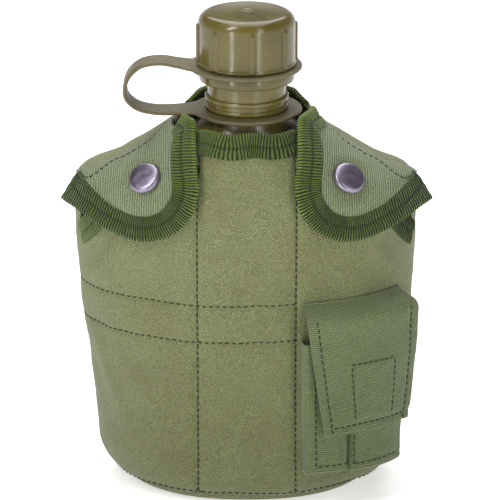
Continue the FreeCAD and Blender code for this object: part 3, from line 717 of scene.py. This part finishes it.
def linings():
    """The pile lining, seen dark inside the mouth of the cover."""
    for name, kind, columns, top, node in (
            ("lining_pile_front", "side", 90, lambda x, y, z: edge_height(x, 11.0) - 1, "lining_front"),
            ("lining_pile_back", "back", 160, lambda x, y, z: np.full_like(z, 163.5), "lining_back")):
        tables = [trimmed_grid(panel_table(kind, columns), top, CLOTH_BOTTOM_Z, 90)]
        if kind == "side":
            middle = trimmed_grid(panel_table("middle", 50), top, CLOTH_BOTTOM_Z, 90)
            mirror = tables[0][:, ::-1] * MIRROR
            tables = [mirror, middle[:, 1:-1], tables[0]]
        base = np.concatenate(tables, 1)
        normals = outward(base)
        fuzz = 0.15 * ripple(base, 2.5, 7)
        outer = base - normals * 1.5
        inner = base - normals * (2.75 - fuzz)[..., None]
        place(shell(name, outer, inner, arc_uv(base), LINING), "carrier", "lining", node)


# ---- ribbed binding ----
def resample(path, spacing):
    run = running(path)
    at = np.linspace(0, run[-1], max(int(run[-1] / spacing), 4))
    return sample(path, run, at), at


def eased(path, passes):
    path = path.copy()
    for _ in range(passes):
        path[1:-1] = path[1:-1] * 0.5 + (path[:-2] + path[2:]) * 0.25
    return path


def march(edge, inward):
    """Base points under a binding, from its edge inwards: (BINDING_STEPS + 1, n, 3)."""
    rows = [edge]
    direction = None
    for _ in range(BINDING_STEPS):
        p = rows[-1]
        n = outward(p)
        if direction is None:
            t = np.gradient(p, axis=0)
            t = unit(t)
            direction = np.cross(n, t)
            direction *= np.sign(np.sum(direction * inward(p), 1))[:, None]
        direction -= n * np.sum(direction * n, 1)[:, None]
        direction = eased(direction, 3)
        direction = unit(direction)
        rows.append(settle(p + direction * BINDING_WIDTH / BINDING_STEPS))
    return np.array(rows)


def binding(name, edge, inward, mid, thick, node, lift=None, body="carrier"):
    """A folded ribbed tape: its section wraps the edge, and both faces carry ribs."""
    edge, along = resample(edge, 0.31)
    base = march(edge, inward)
    normal = outward(base)
    out_dir = unit(base[0] - base[1])
    lift = np.zeros(len(along)) if lift is None else np.interp(along / along[-1], *lift)
    wobble = 0.25 * np.sin(along * 0.35) + 0.2 * np.sin(along * 0.83 + 1.0)
    phase = along * 2 * math.pi / RIB_PITCH + 0.6 * np.sin(along * 0.21)
    ribs = np.cos(phase)
    loops = np.abs(np.cos(phase / 2))
    rings = []
    uvs = []
    for w, h in FOLD:
        w = w * BINDING_WIDTH / FOLD_WIDTH
        k = np.clip(w / BINDING_WIDTH * BINDING_STEPS, 0, BINDING_STEPS - 1e-6)
        i, f = int(k), k - int(k)
        p = base[i] * (1 - f) + base[i + 1] * f
        n = unit(normal[i] * (1 - f) + normal[i + 1] * f)
        relief = 0.2 * ribs * (1 if 0.3 < w < 0.95 * BINDING_WIDTH else 0.5)
        height = mid + h * thick + (relief if h > 0.3 else 0.0) + lift * (1 - w / BINDING_WIDTH) ** 2
        p = p + n * np.reshape(height, (-1, 1))
        if w < 1.0:
            reach = np.maximum(-w, 0) + SCALLOP * loops * (1 - max(w, 0)) + wobble * 0.3
            p = p + out_dir * reach[:, None]
        rings.append(p)
        uvs.append(np.stack([along, np.full_like(along, max(w, 0.0) if h > -0.6 else 4.0)], -1))
    rings = np.array(rings).transpose(1, 0, 2)
    obj = tube_grid(name, rings, np.array(uvs).transpose(1, 0, 2), TAPE)
    if tube_is_inside_out(rings):
        obj.data.flip_normals()
    place(obj, body, "tape", node)
    return base, normal, along


def tube_is_inside_out(rings):
    a, b = rings[len(rings) // 2], rings[len(rings) // 2 + 1]
    centre = a.mean(0)
    n = np.cross(a[1] - a[0], b[0] - a[0])
    return np.dot(n, a[0] - centre) < 0


# ---- shoulder flaps ----
def flap_edge(side):
    """The flap's free edge on the envelope, from the neck down, round the tongue and out to the side."""
    points = []
    top, behind = (174.2, 8.0) if side > 0 else (172.6, 14.5)
    half, front, _ = profile(top)
    start = math.acos((20.5 / half) ** (SQUARE / 2))
    neck = []
    for a in np.linspace(math.asin((behind / front) ** (SQUARE / 2)), start, 14)[:-1]:
        across = half * math.cos(a) ** (2 / SQUARE)
        neck.append((across, BOW * (across / TOP_HALF) ** 2 - front * math.sin(a) ** (2 / SQUARE), top))
    neck = np.array(neck)
    for z in np.linspace(top, 150.0, 30):
        points.append((20.5 + 0.8 * math.sin((z - 150) / 20 * math.pi), z))
    for a in np.linspace(180, 292, 60)[1:]:
        r = math.radians(a)
        points.append((45.5 + 25.0 * math.cos(r), 149.5 + 25.0 * math.sin(r)))
    x0, z0 = points[-1]
    for t in np.linspace(0, 1, 24)[1:]:
        points.append((x0 + (73.6 - x0) * t, z0 + (134.5 - z0) * t ** 1.15))
    flat = np.array(points)
    base = np.concatenate([neck, front_point(flat[:, 0], flat[:, 1])])
    return eased(base, 4) * np.array([side, 1, 1])


def ridge_curve(y_in, y_out, x_from, x_to, count):
    """Where the envelope's top meets a nearly vertical plane along the shoulders."""
    x = np.linspace(x_from, x_to, count)
    y = np.interp(x, (HINGE_IN[0], HINGE_OUT[0]), (y_in, y_out))
    p = np.stack([x, y, np.full(count, 100.0)], -1)
    low, high = np.full(count, 120.0), np.full(count, 179.0)
    for _ in range(40):
        p[:, 2] = (low + high) / 2
        inside = level(p) < 0
        low, high = np.where(inside, p[:, 2], low), np.where(inside, high, p[:, 2])
    return p


def flap(side, stitches):
    word = "right" if side > 0 else "left"
    body = word + "_flap"
    flip = np.array([side, 1, 1])
    edge = flap_edge(side)
    middle = np.array([side * 50.0, -9.0, 155.0])
    corner = ([0, 0.25, 0.45, 0.75, 0.93, 1.0], [0.3, 0.2, 0.5, 0.9, 2.2, 4.4])
    base, normal, along = binding(body + "_binding", edge, lambda p: middle - p, 3.35, 1.15, body + "_tape",
                                  corner, body)
    columns = 120
    pick = np.linspace(0, len(along) - 1, columns).astype(int)
    inner_edge = base[-2][pick]
    back = ridge_curve(-1.5, 2.5, 27.5 if side > 0 else 30.5, 73.5, columns) * flip
    rows = 90
    q = np.linspace(0, 1, rows)[:, None, None]
    spread = back[None] * (1 - q) + inner_edge[None] * q
    core = np.stack([spread[..., 0] * 0.8, np.full(spread.shape[:2], 3.0), spread[..., 2] - 22.0], -1)
    surface = onto(spread, core)
    n = outward(surface)
    depth = np.linspace(0, 1, rows)[:, None] * np.ones((1, columns))
    rise = 0.9 + 2.6 * smoothstep(0.05, 0.28, depth)
    lift = np.interp(along[pick] / along[-1], *corner)[None] * smoothstep(0.75, 1.0, depth) * 0.4
    from_snap = np.linalg.norm(surface - snap_place(side)[0], axis=-1)
    relief = 0.5 * ripple(surface, 21.0, 9 + side) + 0.18 * ripple(surface, 7.0, 13 + side)
    relief += 0.7 * bell(from_snap - 11.5, 3.5) - 0.25 * bell(from_snap, 8.0)
    relief *= smoothstep(0.0, 0.2, depth) * (1 - 0.85 * smoothstep(0.85, 1.0, depth))
    seam = np.abs(depth - seam_share(columns)[None]) * 45.0
    relief += groove(seam, 0.4, 1.2)
    outer = surface + n * (rise + relief + lift)[..., None]
    inner = surface + n * (rise + 0.5 * relief + lift - 1.15)[..., None]
    uv = np.stack([surface[..., 0] * side, arc_uv(surface)[..., 1]], -1)
    cloth = shell(body + "_cloth", outer, inner, uv, FLAP_CLOTH)
    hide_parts(body, word + "_ridge_welt")
    across = np.array([0.0, -1.0, -0.35])
    hinge_line = unit((HINGE_OUT - HINGE_IN) * flip)
    across = unit(across - hinge_line * np.dot(across, hinge_line))
    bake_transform(cloth)
    # stitches down the middle of the binding, and along the ridge seam
    line = base[6] + normal[6] * 4.25
    stitches[body].line(line, normal[6], pitch=2.6, length=1.7, radius=0.2)
    rows_at = np.clip((seam_share(columns) * (rows - 1)).round().astype(int), 0, rows - 1)
    cols_at = np.arange(3, columns - 3)
    path = outer[rows_at[cols_at], cols_at]
    stitches[body].line(path, n[rows_at[cols_at], cols_at])


def seam_share(columns):
    """Row share, from the ridge to the binding, at which the ridge seam runs in each column."""
    t = np.linspace(0, 1, columns)
    return 0.20 + 0.06 * t + 0.52 * smoothstep(0.62, 1.0, t)


def snap_place(side):
    at = front_point(np.array([SNAP_X]), np.array([SNAP_Z]))[0]
    axis = outward(at[None])[0]
    flip = np.array([side, 1, 1])
    return at * flip, axis * flip


def lathe(name, outline, at, axis, material, around=96):
    """A turned piece whose outline, (radius, height) points about an axis, runs from its top down."""
    side = unit(np.cross(axis, [0, 0, 1.0]))
    other = np.cross(axis, side)
    a = np.linspace(0, 2 * math.pi, around, endpoint=False)
    circle = side * np.cos(a)[:, None] + other * np.sin(a)[:, None]
    rings = np.array([at + axis * h + circle * max(r, 0.01) for r, h in outline])
    uv = np.stack(np.meshgrid(a * 8, [h for _, h in outline]), -1)
    obj = tube_grid(name, rings, uv, material)
    obj.data.flip_normals()
    return obj


def snaps():
    for side, word in SIDES:
        at, axis = snap_place(side)
        obj = lathe(word + "_snap_dome", SNAP_DOME, at + axis * 0.25, axis, SNAP)
        place(obj, word + "_flap", "snap", word + "_snap_cap")


# ---- tablet pocket ----
def side_grid(x_of, z_rows, columns, offset):
    """Base points over the right front whose offset surface lies between two x limits for each height."""
    rows = []
    for z in z_rows:
        x, y, _ = section_curve(z)
        points = np.stack([x, y, np.full(len(x), z)], -1)
        shifted = points + outward(points) * offset
        front_half = slice(0, int(np.argmax(shifted[:, 0])))
        travel = running(shifted)
        a, b = np.interp(x_of(z), shifted[front_half, 0], travel[front_half])
        s = a + (b - a) * columns
        rows.append(np.stack([np.interp(s, travel, x), np.interp(s, travel, y), np.full(len(s), z)], -1))
    return np.array(rows)


def under_patch(x, z):
    """1 where the touch-fastening tapes sit between pouch and flap, 0 elsewhere."""
    across = smoothstep(37.5, 40.0, x) * (1 - smoothstep(57.5, 60.0, x))
    return across * smoothstep(42.5, 45.0, z) * (1 - smoothstep(71.0, 73.5, z))


def pouch(stitches):
    """A gusseted pouch with square walls, a lapped front pleat and a folded hem along its mouth."""
    wall = np.array([0, 0.12, 0.35, 0.6, 0.82, 0.94, 1.0])
    inset = np.array([0, 0.0, 0.0, 0.002, 0.006, 0.016, 0.035])
    middle = np.linspace(0.05, 0.95, 88)
    columns = np.concatenate([inset, middle, (1 - inset)[::-1]])
    height = np.concatenate([wall, np.ones(88), wall[::-1]])
    z_rows = np.concatenate([18 + inset * 55, np.linspace(20.6, 79.5, 84)])
    z_height = np.concatenate([wall, np.ones(84)])
    base = side_grid(lambda z: (25.0 + 0.02 * (80 - z), 69.6 - 0.03 * (80 - z)), z_rows, columns, 9.0)
    n = outward(base)
    x, z = base[..., 0], base[..., 2]
    full = height[None, :] * z_height[:, None]
    sag = 0.8 * np.sin(np.clip((x - 25) / 43, 0, 1) * math.pi) * (1 - smoothstep(30, 70, z))
    pleat = 1.6 * smoothstep(41.5, 42.0, x) - 2.6 * bell(x - 41.1, 0.6)
    pleat *= 1 - smoothstep(60, 75, z)
    relief = 0.35 * ripple(base, 12.0, 21) + 0.12 * ripple(base, 4.0, 22) + groove(z - 22.0, 0.3, 0.9)
    t = 0.35 + full * (8.3 + sag + pleat + relief)
    patch = under_patch(x, z)
    t = t * (1 - patch) + np.minimum(t, 9.5) * patch
    outer = base + n * t[..., None]
    inner = base + n * np.maximum(t - 1.15, 0.1)[..., None]
    obj = shell("pocket_pouch_cloth", outer, inner, arc_uv(base), POCKET_CLOTH)
    place(obj, "carrier", "pocket", "pocket_pouch")
    row = int(np.argmin(np.abs(z_rows - 22.0)))
    cols = slice(12, len(columns) - 12)
    stitches["carrier"].line(outer[row, cols], n[row, cols])
    for c in (11, int(np.argmin(np.abs(columns - 0.43)))):
        stitches["carrier"].line(outer[8:-2, c], n[8:-2, c])


def pocket_flap(stitches):
    """The pocket's flap: sewn into the seam above, folded over the pouch, hemmed and stitched."""
    over_fold = [96.6, 95.9, 95.2, 94.6, 94.0, 93.4, 92.8, 92.2, 91.5, 90.8, 90.0]
    z_rows = np.concatenate([over_fold, np.linspace(89, 37.6, 70)])
    out = np.array([0.7, 0.9, 1.5, 3.0, 5.2, 7.2, 8.9, 10.0, 10.7, 11.1, 11.4] + [11.55] * 70)
    columns = np.linspace(0, 1, 92)

    def limits(z):
        drop = np.clip((93 - z) / 55.0, 0, 1)
        return 26.3 + 7.6 * drop ** 1.1, 75.6 - 1.5 * drop - 3.0 * drop ** 3
    base = side_grid(limits, z_rows, columns, 11.5)
    n = outward(base)
    z = base[..., 2]
    u = columns[None] * np.ones((len(z_rows), 1))
    across = u * POCKET_WIDTH
    low, high = POCKET_BOX
    below = np.clip((93 - z) / 55.0, 0, 1)
    t = out[:, None] + 1.0 * below * (1 - smoothstep(0.0, 0.35, u)) + 0.8 * below ** 2
    face = np.clip((94.0 - z) / 3.0, 0, 1)
    hem = groove(across - POCKET_HEMS[0], 0.45, 0.8)
    hem += groove((1 - u) * POCKET_WIDTH - POCKET_HEMS[1], 0.5, 0.8)
    hem += groove(z - POCKET_HEM_Z, 0.4, 0.8)
    box_u = np.minimum(np.abs(across - low), np.abs(across - high))
    inside_box = (across > low - 1) & (across < high + 1) & (z < 70) & (z > 44)
    box = np.where((z < POCKET_BOX_TOP) & (z > 44), groove(box_u, 0.3, 0.8), 0)
    box += np.where((across > low - 0.5) & (across < high + 0.5), groove(z - POCKET_BOX_TOP, 0.3, 0.8), 0)
    waves = 0.45 * ripple(base, 14.0, 31) + 0.15 * ripple(base, 5.0, 32)
    t = t + face * (hem + box + 0.25 * inside_box + waves)
    outer = base + n * t[..., None]
    patch = under_patch(base[..., 0], z)
    inner = base + n * (np.maximum(t - 1.2, 0.15) * (1 - patch) + 10.9 * patch)[..., None]
    uv = np.stack([across + 90, arc_uv(outer)[..., 1]], -1)
    obj = shell("pocket_flap_cloth", outer, inner, uv, POCKET_CLOTH)
    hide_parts("pocket_flap", "pocket_flap_root")
    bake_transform(obj)

    def sew(rows, cols, **stitch):
        stitches["pocket_flap"].line(outer[rows, cols], n[rows, cols], **stitch)
    face_rows = np.where(z_rows < 92)[0]
    for share in (POCKET_HEMS[0] / POCKET_WIDTH, 1 - POCKET_HEMS[1] / POCKET_WIDTH):
        sew(face_rows, int(round(share * 91)))
    sew(int(np.argmin(np.abs(z_rows - POCKET_HEM_Z))), slice(8, 84))
    small = {"pitch": 2.8, "length": 2.4, "radius": 0.3}
    lower = np.where((z_rows < POCKET_BOX_TOP) & (z_rows > 43))[0]
    for mm in POCKET_BOX:
        sew(lower, int(round(mm / POCKET_WIDTH * 91)), **small)
    box_top = int(np.argmin(np.abs(z_rows - POCKET_BOX_TOP)))
    sew(box_top, slice(int(low / POCKET_WIDTH * 91), int(high / POCKET_WIDTH * 91)), **small)


# ---- cap, neck and tether ----
def screw_cap():
    """The ribbed cap as one moulding, with eased edges on its ribs and skirt."""
    a = np.linspace(0, 2 * math.pi, 720, endpoint=False)
    outline = [(14.3, 215.0), (18.6, 215.0), (18.7, 213.0), (18.7, 187.6), (18.9, 187.1), (19.3, 186.95),
               (20.4, 187.0), (20.75, 187.2), (20.9, 187.7), (20.9, 190.9), (20.8, 191.4), (20.4, 191.7),
               (20.0, 191.85), (20.0, 193.8), (20.3, 193.95), (21.2, 194.05), (21.6, 194.3), (21.65, 194.9),
               (21.45, 195.4), (21.25, 195.8)]
    outline += [(21.2, z) for z in np.linspace(196.4, 211.8, 24)]
    for d in np.linspace(0, 90, 31)[1:]:
        r = math.radians(d)
        outline.append((16.4 + 4.8 * math.cos(r), 212.3 + 4.8 * math.sin(r)))
    outline += [(14.8, 217.2), (12.0, 217.45), (9.0, 217.65), (6.0, 217.78), (3.0, 217.85), (1.9, 217.86),
                (1.5, 217.6), (1.2, 217.2), (0.6, 217.0), (0.0, 216.98)]
    rings = []
    phase = math.radians(6.0)
    angle = np.abs(((a + math.pi / 2 - phase) * 8 / (2 * math.pi) + 0.5) % 1 - 0.5) * 45.0
    across = np.radians(angle) * 21.5
    rib = 1 - smoothstep(0.9, 1.25, across)
    for r, z in outline:
        top = 1 - smoothstep(211.6, 212.9, z)
        foot = smoothstep(194.6, 195.6, z)
        outer = 1.0 if r > 15 else 0.0
        radius = r + 1.0 * rib * top * foot * outer * (z > 194.2)
        rings.append(np.stack([radius * np.cos(a), radius * np.sin(a), np.full_like(a, z)], -1))
    rings = np.array(rings)
    uv = np.stack(np.meshgrid(a * 20, [z for _, z in outline]), -1)
    obj = tube_grid("screw_cap", rings, uv, OLIVE_CAP)
    place(obj, "cap", "cap", "cap")


def smooth_line(points, spacing):
    """A Catmull-Rom line through the points."""
    p = np.array(points, float)
    p = np.concatenate([[2 * p[0] - p[1]], p, [2 * p[-1] - p[-2]]])
    out = []
    for i in range(1, len(p) - 2):
        for t in np.linspace(0, 1, 12, endpoint=False):
            a, b, c, d = p[i - 1:i + 3]
            out.append(0.5 * (2 * b + (c - a) * t + (2 * a - 5 * b + 4 * c - d) * t ** 2
                              + (3 * b - a - 3 * c + d) * t ** 3))
    out.append(p[-2])
    line = np.array(out)
    flat = np.stack([line[:, 0], np.zeros(len(line)), line[:, 1]], -1)
    return resample(flat, spacing)[0]


def rounded_ring(z, inner, outer, shift, around=220):
    """Sections of a flat ring with eased edges; its outer edge is shifted along X."""
    h, e = STRAP_THICK / 2, 0.45
    section = [(inner, -h + e, 0), (inner + e, -h, 0), (outer - e, -h, 1), (outer - 0.1, -h + e, 1),
               (outer, 0, 1), (outer - 0.1, h - e, 1), (outer - e, h, 1), (inner + e, h, 0),
               (inner, h - e, 0)]
    return np.array([[(r * math.cos(t) + shift * s, r * math.sin(t), z + dz) for r, dz, s in section]
                     for t in np.linspace(0, 2 * math.pi, around, endpoint=False)])


def tether():
    """One flexible moulding: a ring under the cap's skirt, a ring round the neck, and the looped strap."""
    line = smooth_line(STRAP_LINE, STRAP_STEP)
    tangent = unit(np.gradient(line, axis=0))
    up = np.stack([-tangent[:, 2], np.zeros(len(line)), tangent[:, 0]], -1)
    across = np.array([0, 1.0, 0])
    ends = np.minimum(np.arange(len(line)), np.arange(len(line))[::-1]) * STRAP_STEP
    width = 6.4 + 4.5 * np.exp(-ends / 4.5)
    h, e = STRAP_THICK / 2, 0.4
    section = [(-1, -h + e), (-1, h - e), (-0.94, h), (0.94, h), (1, h - e), (1, -h + e), (0.94, -h),
               (-0.94, -h)]
    strap = np.array([[line[i] + across * (w * width[i]) + up[i] * z for w, z in section]
                      for i in range(len(line))])
    faces, points = [], []
    start = 0
    for grid in (strap, *(rounded_ring(*ring) for ring in TETHER_RINGS)):
        stations, around = grid.shape[:2]
        faces += quads(stations, around, start, wrap=True).tolist()
        if grid is strap:
            faces += end_caps(stations, around, start)
        else:
            last = start + (stations - 1) * around
            for j in range(around):
                k = (j + 1) % around
                faces.append([last + j, last + k, start + k, start + j])
        points.append(grid.reshape(-1, 3))
        start += stations * around
    obj = make_object("tether_strap", np.concatenate(points), faces, np.zeros((start, 2)), [TETHER_PLASTIC])
    weld = obj.modifiers.new("weld", "REMESH")
    weld.mode = "VOXEL"
    weld.voxel_size = 0.42 * MM
    weld.use_smooth_shade = True
    ease = obj.modifiers.new("ease", "SMOOTH")
    ease.factor = 0.5
    ease.iterations = 4
    depsgraph = bpy.context.evaluated_depsgraph_get()
    mesh = bpy.data.meshes.new_from_object(obj.evaluated_get(depsgraph))
    obj.modifiers.clear()
    obj.data = mesh
    mesh.materials.clear()
    mesh.materials.append(TETHER_PLASTIC)
    mesh.polygons.foreach_set("use_smooth", np.ones(len(mesh.polygons), bool))
    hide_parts("tether_cap_half", "tether_neck_half")
    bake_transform(obj)


# ---- back ----
def hangers(stitches):
    """Webbing loops that hold the belt keepers, sewn to the back with boxed crosses."""
    z = np.linspace(*HANGER_Z, 140)
    y = np.interp(z, *np.array(HANGER_LINE).T)
    y = np.convolve(np.pad(y, 3, mode="edge"), np.ones(7) / 7, "valid")
    w = np.linspace(-1, 1, 50)
    for side, word in SIDES:
        x = HANGER_X * side + 12.0 * w[None] * np.ones((140, 1))
        yy = y[:, None] - 0.35 * np.abs(w[None]) ** 8
        yy = yy + 0.07 * np.cos(np.arange(140)[:, None] * 0.53 / 1.1 * 2 * math.pi)
        outer = np.stack([x, yy, z[:, None] + 0 * x], -1)
        inner = outer - np.array([0, 1.15, 0])
        uv = np.stack([outer[..., 2], (w[None] + 1) * 12 + 0 * x], -1)
        obj = shell(word + "_hanger_webbing", outer, inner, uv, WEBBING)
        place(obj, "carrier", "webbing", word + "_belt_hanger")
        for z0, z1 in HANGER_BOXES:
            c = [(-10, z0), (10, z0), (10, z1), (-10, z1), (-10, z0), (10, z1), (10, z0), (-10, z1)]
            path = []
            for (xa, za), (xb, zb) in zip(c, c[1:]):
                for t in np.linspace(0, 1, 12, endpoint=False):
                    path.append((HANGER_X * side + xa + (xb - xa) * t, 35.25, za + (zb - za) * t))
            path = np.array(path)
            path[:, 1] = np.interp(path[:, 2], z, y) + 0.1
            facing = np.tile([0, 1.0, 0], (len(path), 1))
            stitches["carrier"].line(path, facing, pitch=2.8, length=2.4, radius=0.3)


# ---- assembly ----
def edge_path(kind):
    """The free edges' base points: the front's from side to side, or the back's round the neck."""
    if kind == "front":
        x = [np.linspace(-73.6, -60, 40), np.linspace(-59.5, 59.5, 240), np.linspace(60, 73.6, 40)]
        x = np.concatenate(x)
        wave = 0.55 * np.sin(x * 0.33 + 0.7) * (1 - smoothstep(18.0, 24.0, np.abs(x)))
        return eased(front_point(x, edge_height(x, 0.2) + wave), 5)
    _, y, run = section_curve(175.6)
    side = np.interp(14.5, y, run)
    right = section_points(175.6, np.linspace(side, run[-1], 90))
    right[:, 2] = back_top(0, right[:, 1], 0) + 0.6
    right = settle(right)
    return np.concatenate([right, (right * MIRROR)[-2::-1]])


def sewn(thread, p, kind="front"):
    """A line of stitches on the body's cloth, over base points."""
    n = outward(p)
    thread.line(p + n * cloth_relief(p, kind)[:, None], n)


def panel_seams(stitches):
    """Thread lines of the body: two upright seams, two cross lines, the base and the side seams."""
    thread = stitches["carrier"]
    for x0 in (-FRONT_SEAM_X, FRONT_SEAM_X):
        sewn(thread, front_point(np.full(320, x0), np.linspace(6, 158, 320)))
    for z0 in BAND_Z:
        x, y, run = section_curve(z0)
        front_half = np.arange(len(x)) < len(x) // 2
        end = np.interp(SIDE_SEAM_Y, y, run)
        stop = np.interp(24.0, x[front_half], run[front_half])
        s = np.linspace(-end + 1, stop, 420)
        p = section_points(z0, s)
        p[:, 2] += 0.25 * np.sin(s * 0.11) + 0.12 * np.sin(s * 0.4)
        sewn(thread, p)
    half_round = section_curve(BASE_STITCH_Z)[2][-1]
    sewn(thread, section_points(BASE_STITCH_Z, np.linspace(-half_round, half_round, 800)))
    for side in (-1, 1):
        p = []
        for z in np.linspace(8, 114, 220):
            x, y, run = section_curve(z)
            at = np.interp(SIDE_SEAM_Y + 2.6, y, run)
            p.append((side * np.interp(at, run, x), np.interp(at, run, y), z))
        sewn(thread, np.array(p), "back")


def carried_over():
    """Finishes for the CAD pieces that are shown as they are."""
    finish = {"bottle": OLIVE, "cap_seal": SEAL, "pocket_loop_tape": TOUCH, "pocket_hook_tape": TOUCH}
    for word in ("left", "right"):
        for kind in ("snap_socket", "snap_stud", "snap_post"):
            finish["%s_%s" % (word, kind)] = SNAP
        for kind in ("keeper_frame", "keeper_slide"):
            finish["%s_%s" % (word, kind)] = KEEPER
    for name, material in finish.items():
        mesh = NODES[name].data
        mesh.materials.clear()
        mesh.materials.append(material)


def studio():
    """Pale glowing floor and surroundings, soft light panels, and the camera."""
    s = Shade("studio_paper", Roughness=0.9, Specular_IOR_Level=0.2, Emission_Color=(1, 1, 1, 1),
              Emission_Strength=FLOOR_GLOW)
    tone = s.range(s.noise(3.0, 2.0), 0.3, 0.7, 0.0, 1.0)
    s.link(s.mix(tone, (0.84, 0.84, 0.84), (0.88, 0.88, 0.88)), s.out.inputs["Base Color"])
    corners = np.array([(-FLOOR, -FLOOR, 0), (FLOOR, -FLOOR, 0), (FLOOR, FLOOR, 0), (-FLOOR, FLOOR, 0)])
    floor = make_object("studio_floor", corners / MM, [(0, 1, 2, 3)], None, [s.material])
    world = bpy.data.worlds.new("studio") if bpy.context.scene.world is None else bpy.context.scene.world
    bpy.context.scene.world = world
    world.use_nodes = True
    tree = world.node_tree
    background = tree.nodes["Background"]
    background.inputs[0].default_value = (1, 1, 1, 1)
    where = tree.nodes.new("ShaderNodeTexCoord")
    split = tree.nodes.new("ShaderNodeSeparateXYZ")
    fade = tree.nodes.new("ShaderNodeMapRange")
    for index, value in enumerate((0.02, 0.35, 0.95, WORLD_GLOW)):
        fade.inputs[index + 1].default_value = value
    tree.links.new(where.outputs["Generated"], split.inputs[0])
    tree.links.new(split.outputs[2], fade.inputs[0])
    tree.links.new(fade.outputs[0], background.inputs[1])
    for name, at, width, height, power in LIGHTS:
        light = bpy.data.lights.new(name, "AREA")
        light.shape = "RECTANGLE"
        light.size = width
        light.size_y = height
        light.energy = power
        lamp = bpy.data.objects.new(name, light)
        lamp.location = at
        lamp.visible_camera = False
        lamp.rotation_euler = (LIGHT_AIM - Vector(at)).to_track_quat("-Z", "Y").to_euler()
        bpy.context.scene.collection.objects.link(lamp)
    camera_data = bpy.data.cameras.new("camera")
    camera_data.sensor_width = 36.0
    camera_data.lens = LENS
    camera_data.shift_x, camera_data.shift_y = CAMERA_SHIFT
    camera_data.clip_end = 20.0
    camera = bpy.data.objects.new("camera", camera_data)
    camera.location = CAMERA_AT
    camera.rotation_euler = (CAMERA_AIM - CAMERA_AT).to_track_quat("-Z", "Y").to_euler()
    bpy.context.scene.collection.objects.link(camera)
    bpy.context.scene.camera = camera
    bpy.context.scene.view_settings.view_transform = "Standard"


def main():
    studio()
    carried_over()
    stitches = {body: Stitches() for body in ("carrier", "left_flap", "right_flap", "pocket_flap")}
    cover()
    linings()
    for kind in ("front", "back"):
        binding(kind + "_binding", edge_path(kind), lambda p: DOWN, -0.55, 1.25, kind + "_edge_tape")
    for side in (-1, 1):
        flap(side, stitches)
    snaps()
    pouch(stitches)
    pocket_flap(stitches)
    screw_cap()
    tether()
    hangers(stitches)
    panel_seams(stitches)
    for body, lines in stitches.items():
        lines.build(body + "_thread", body, None)


main()
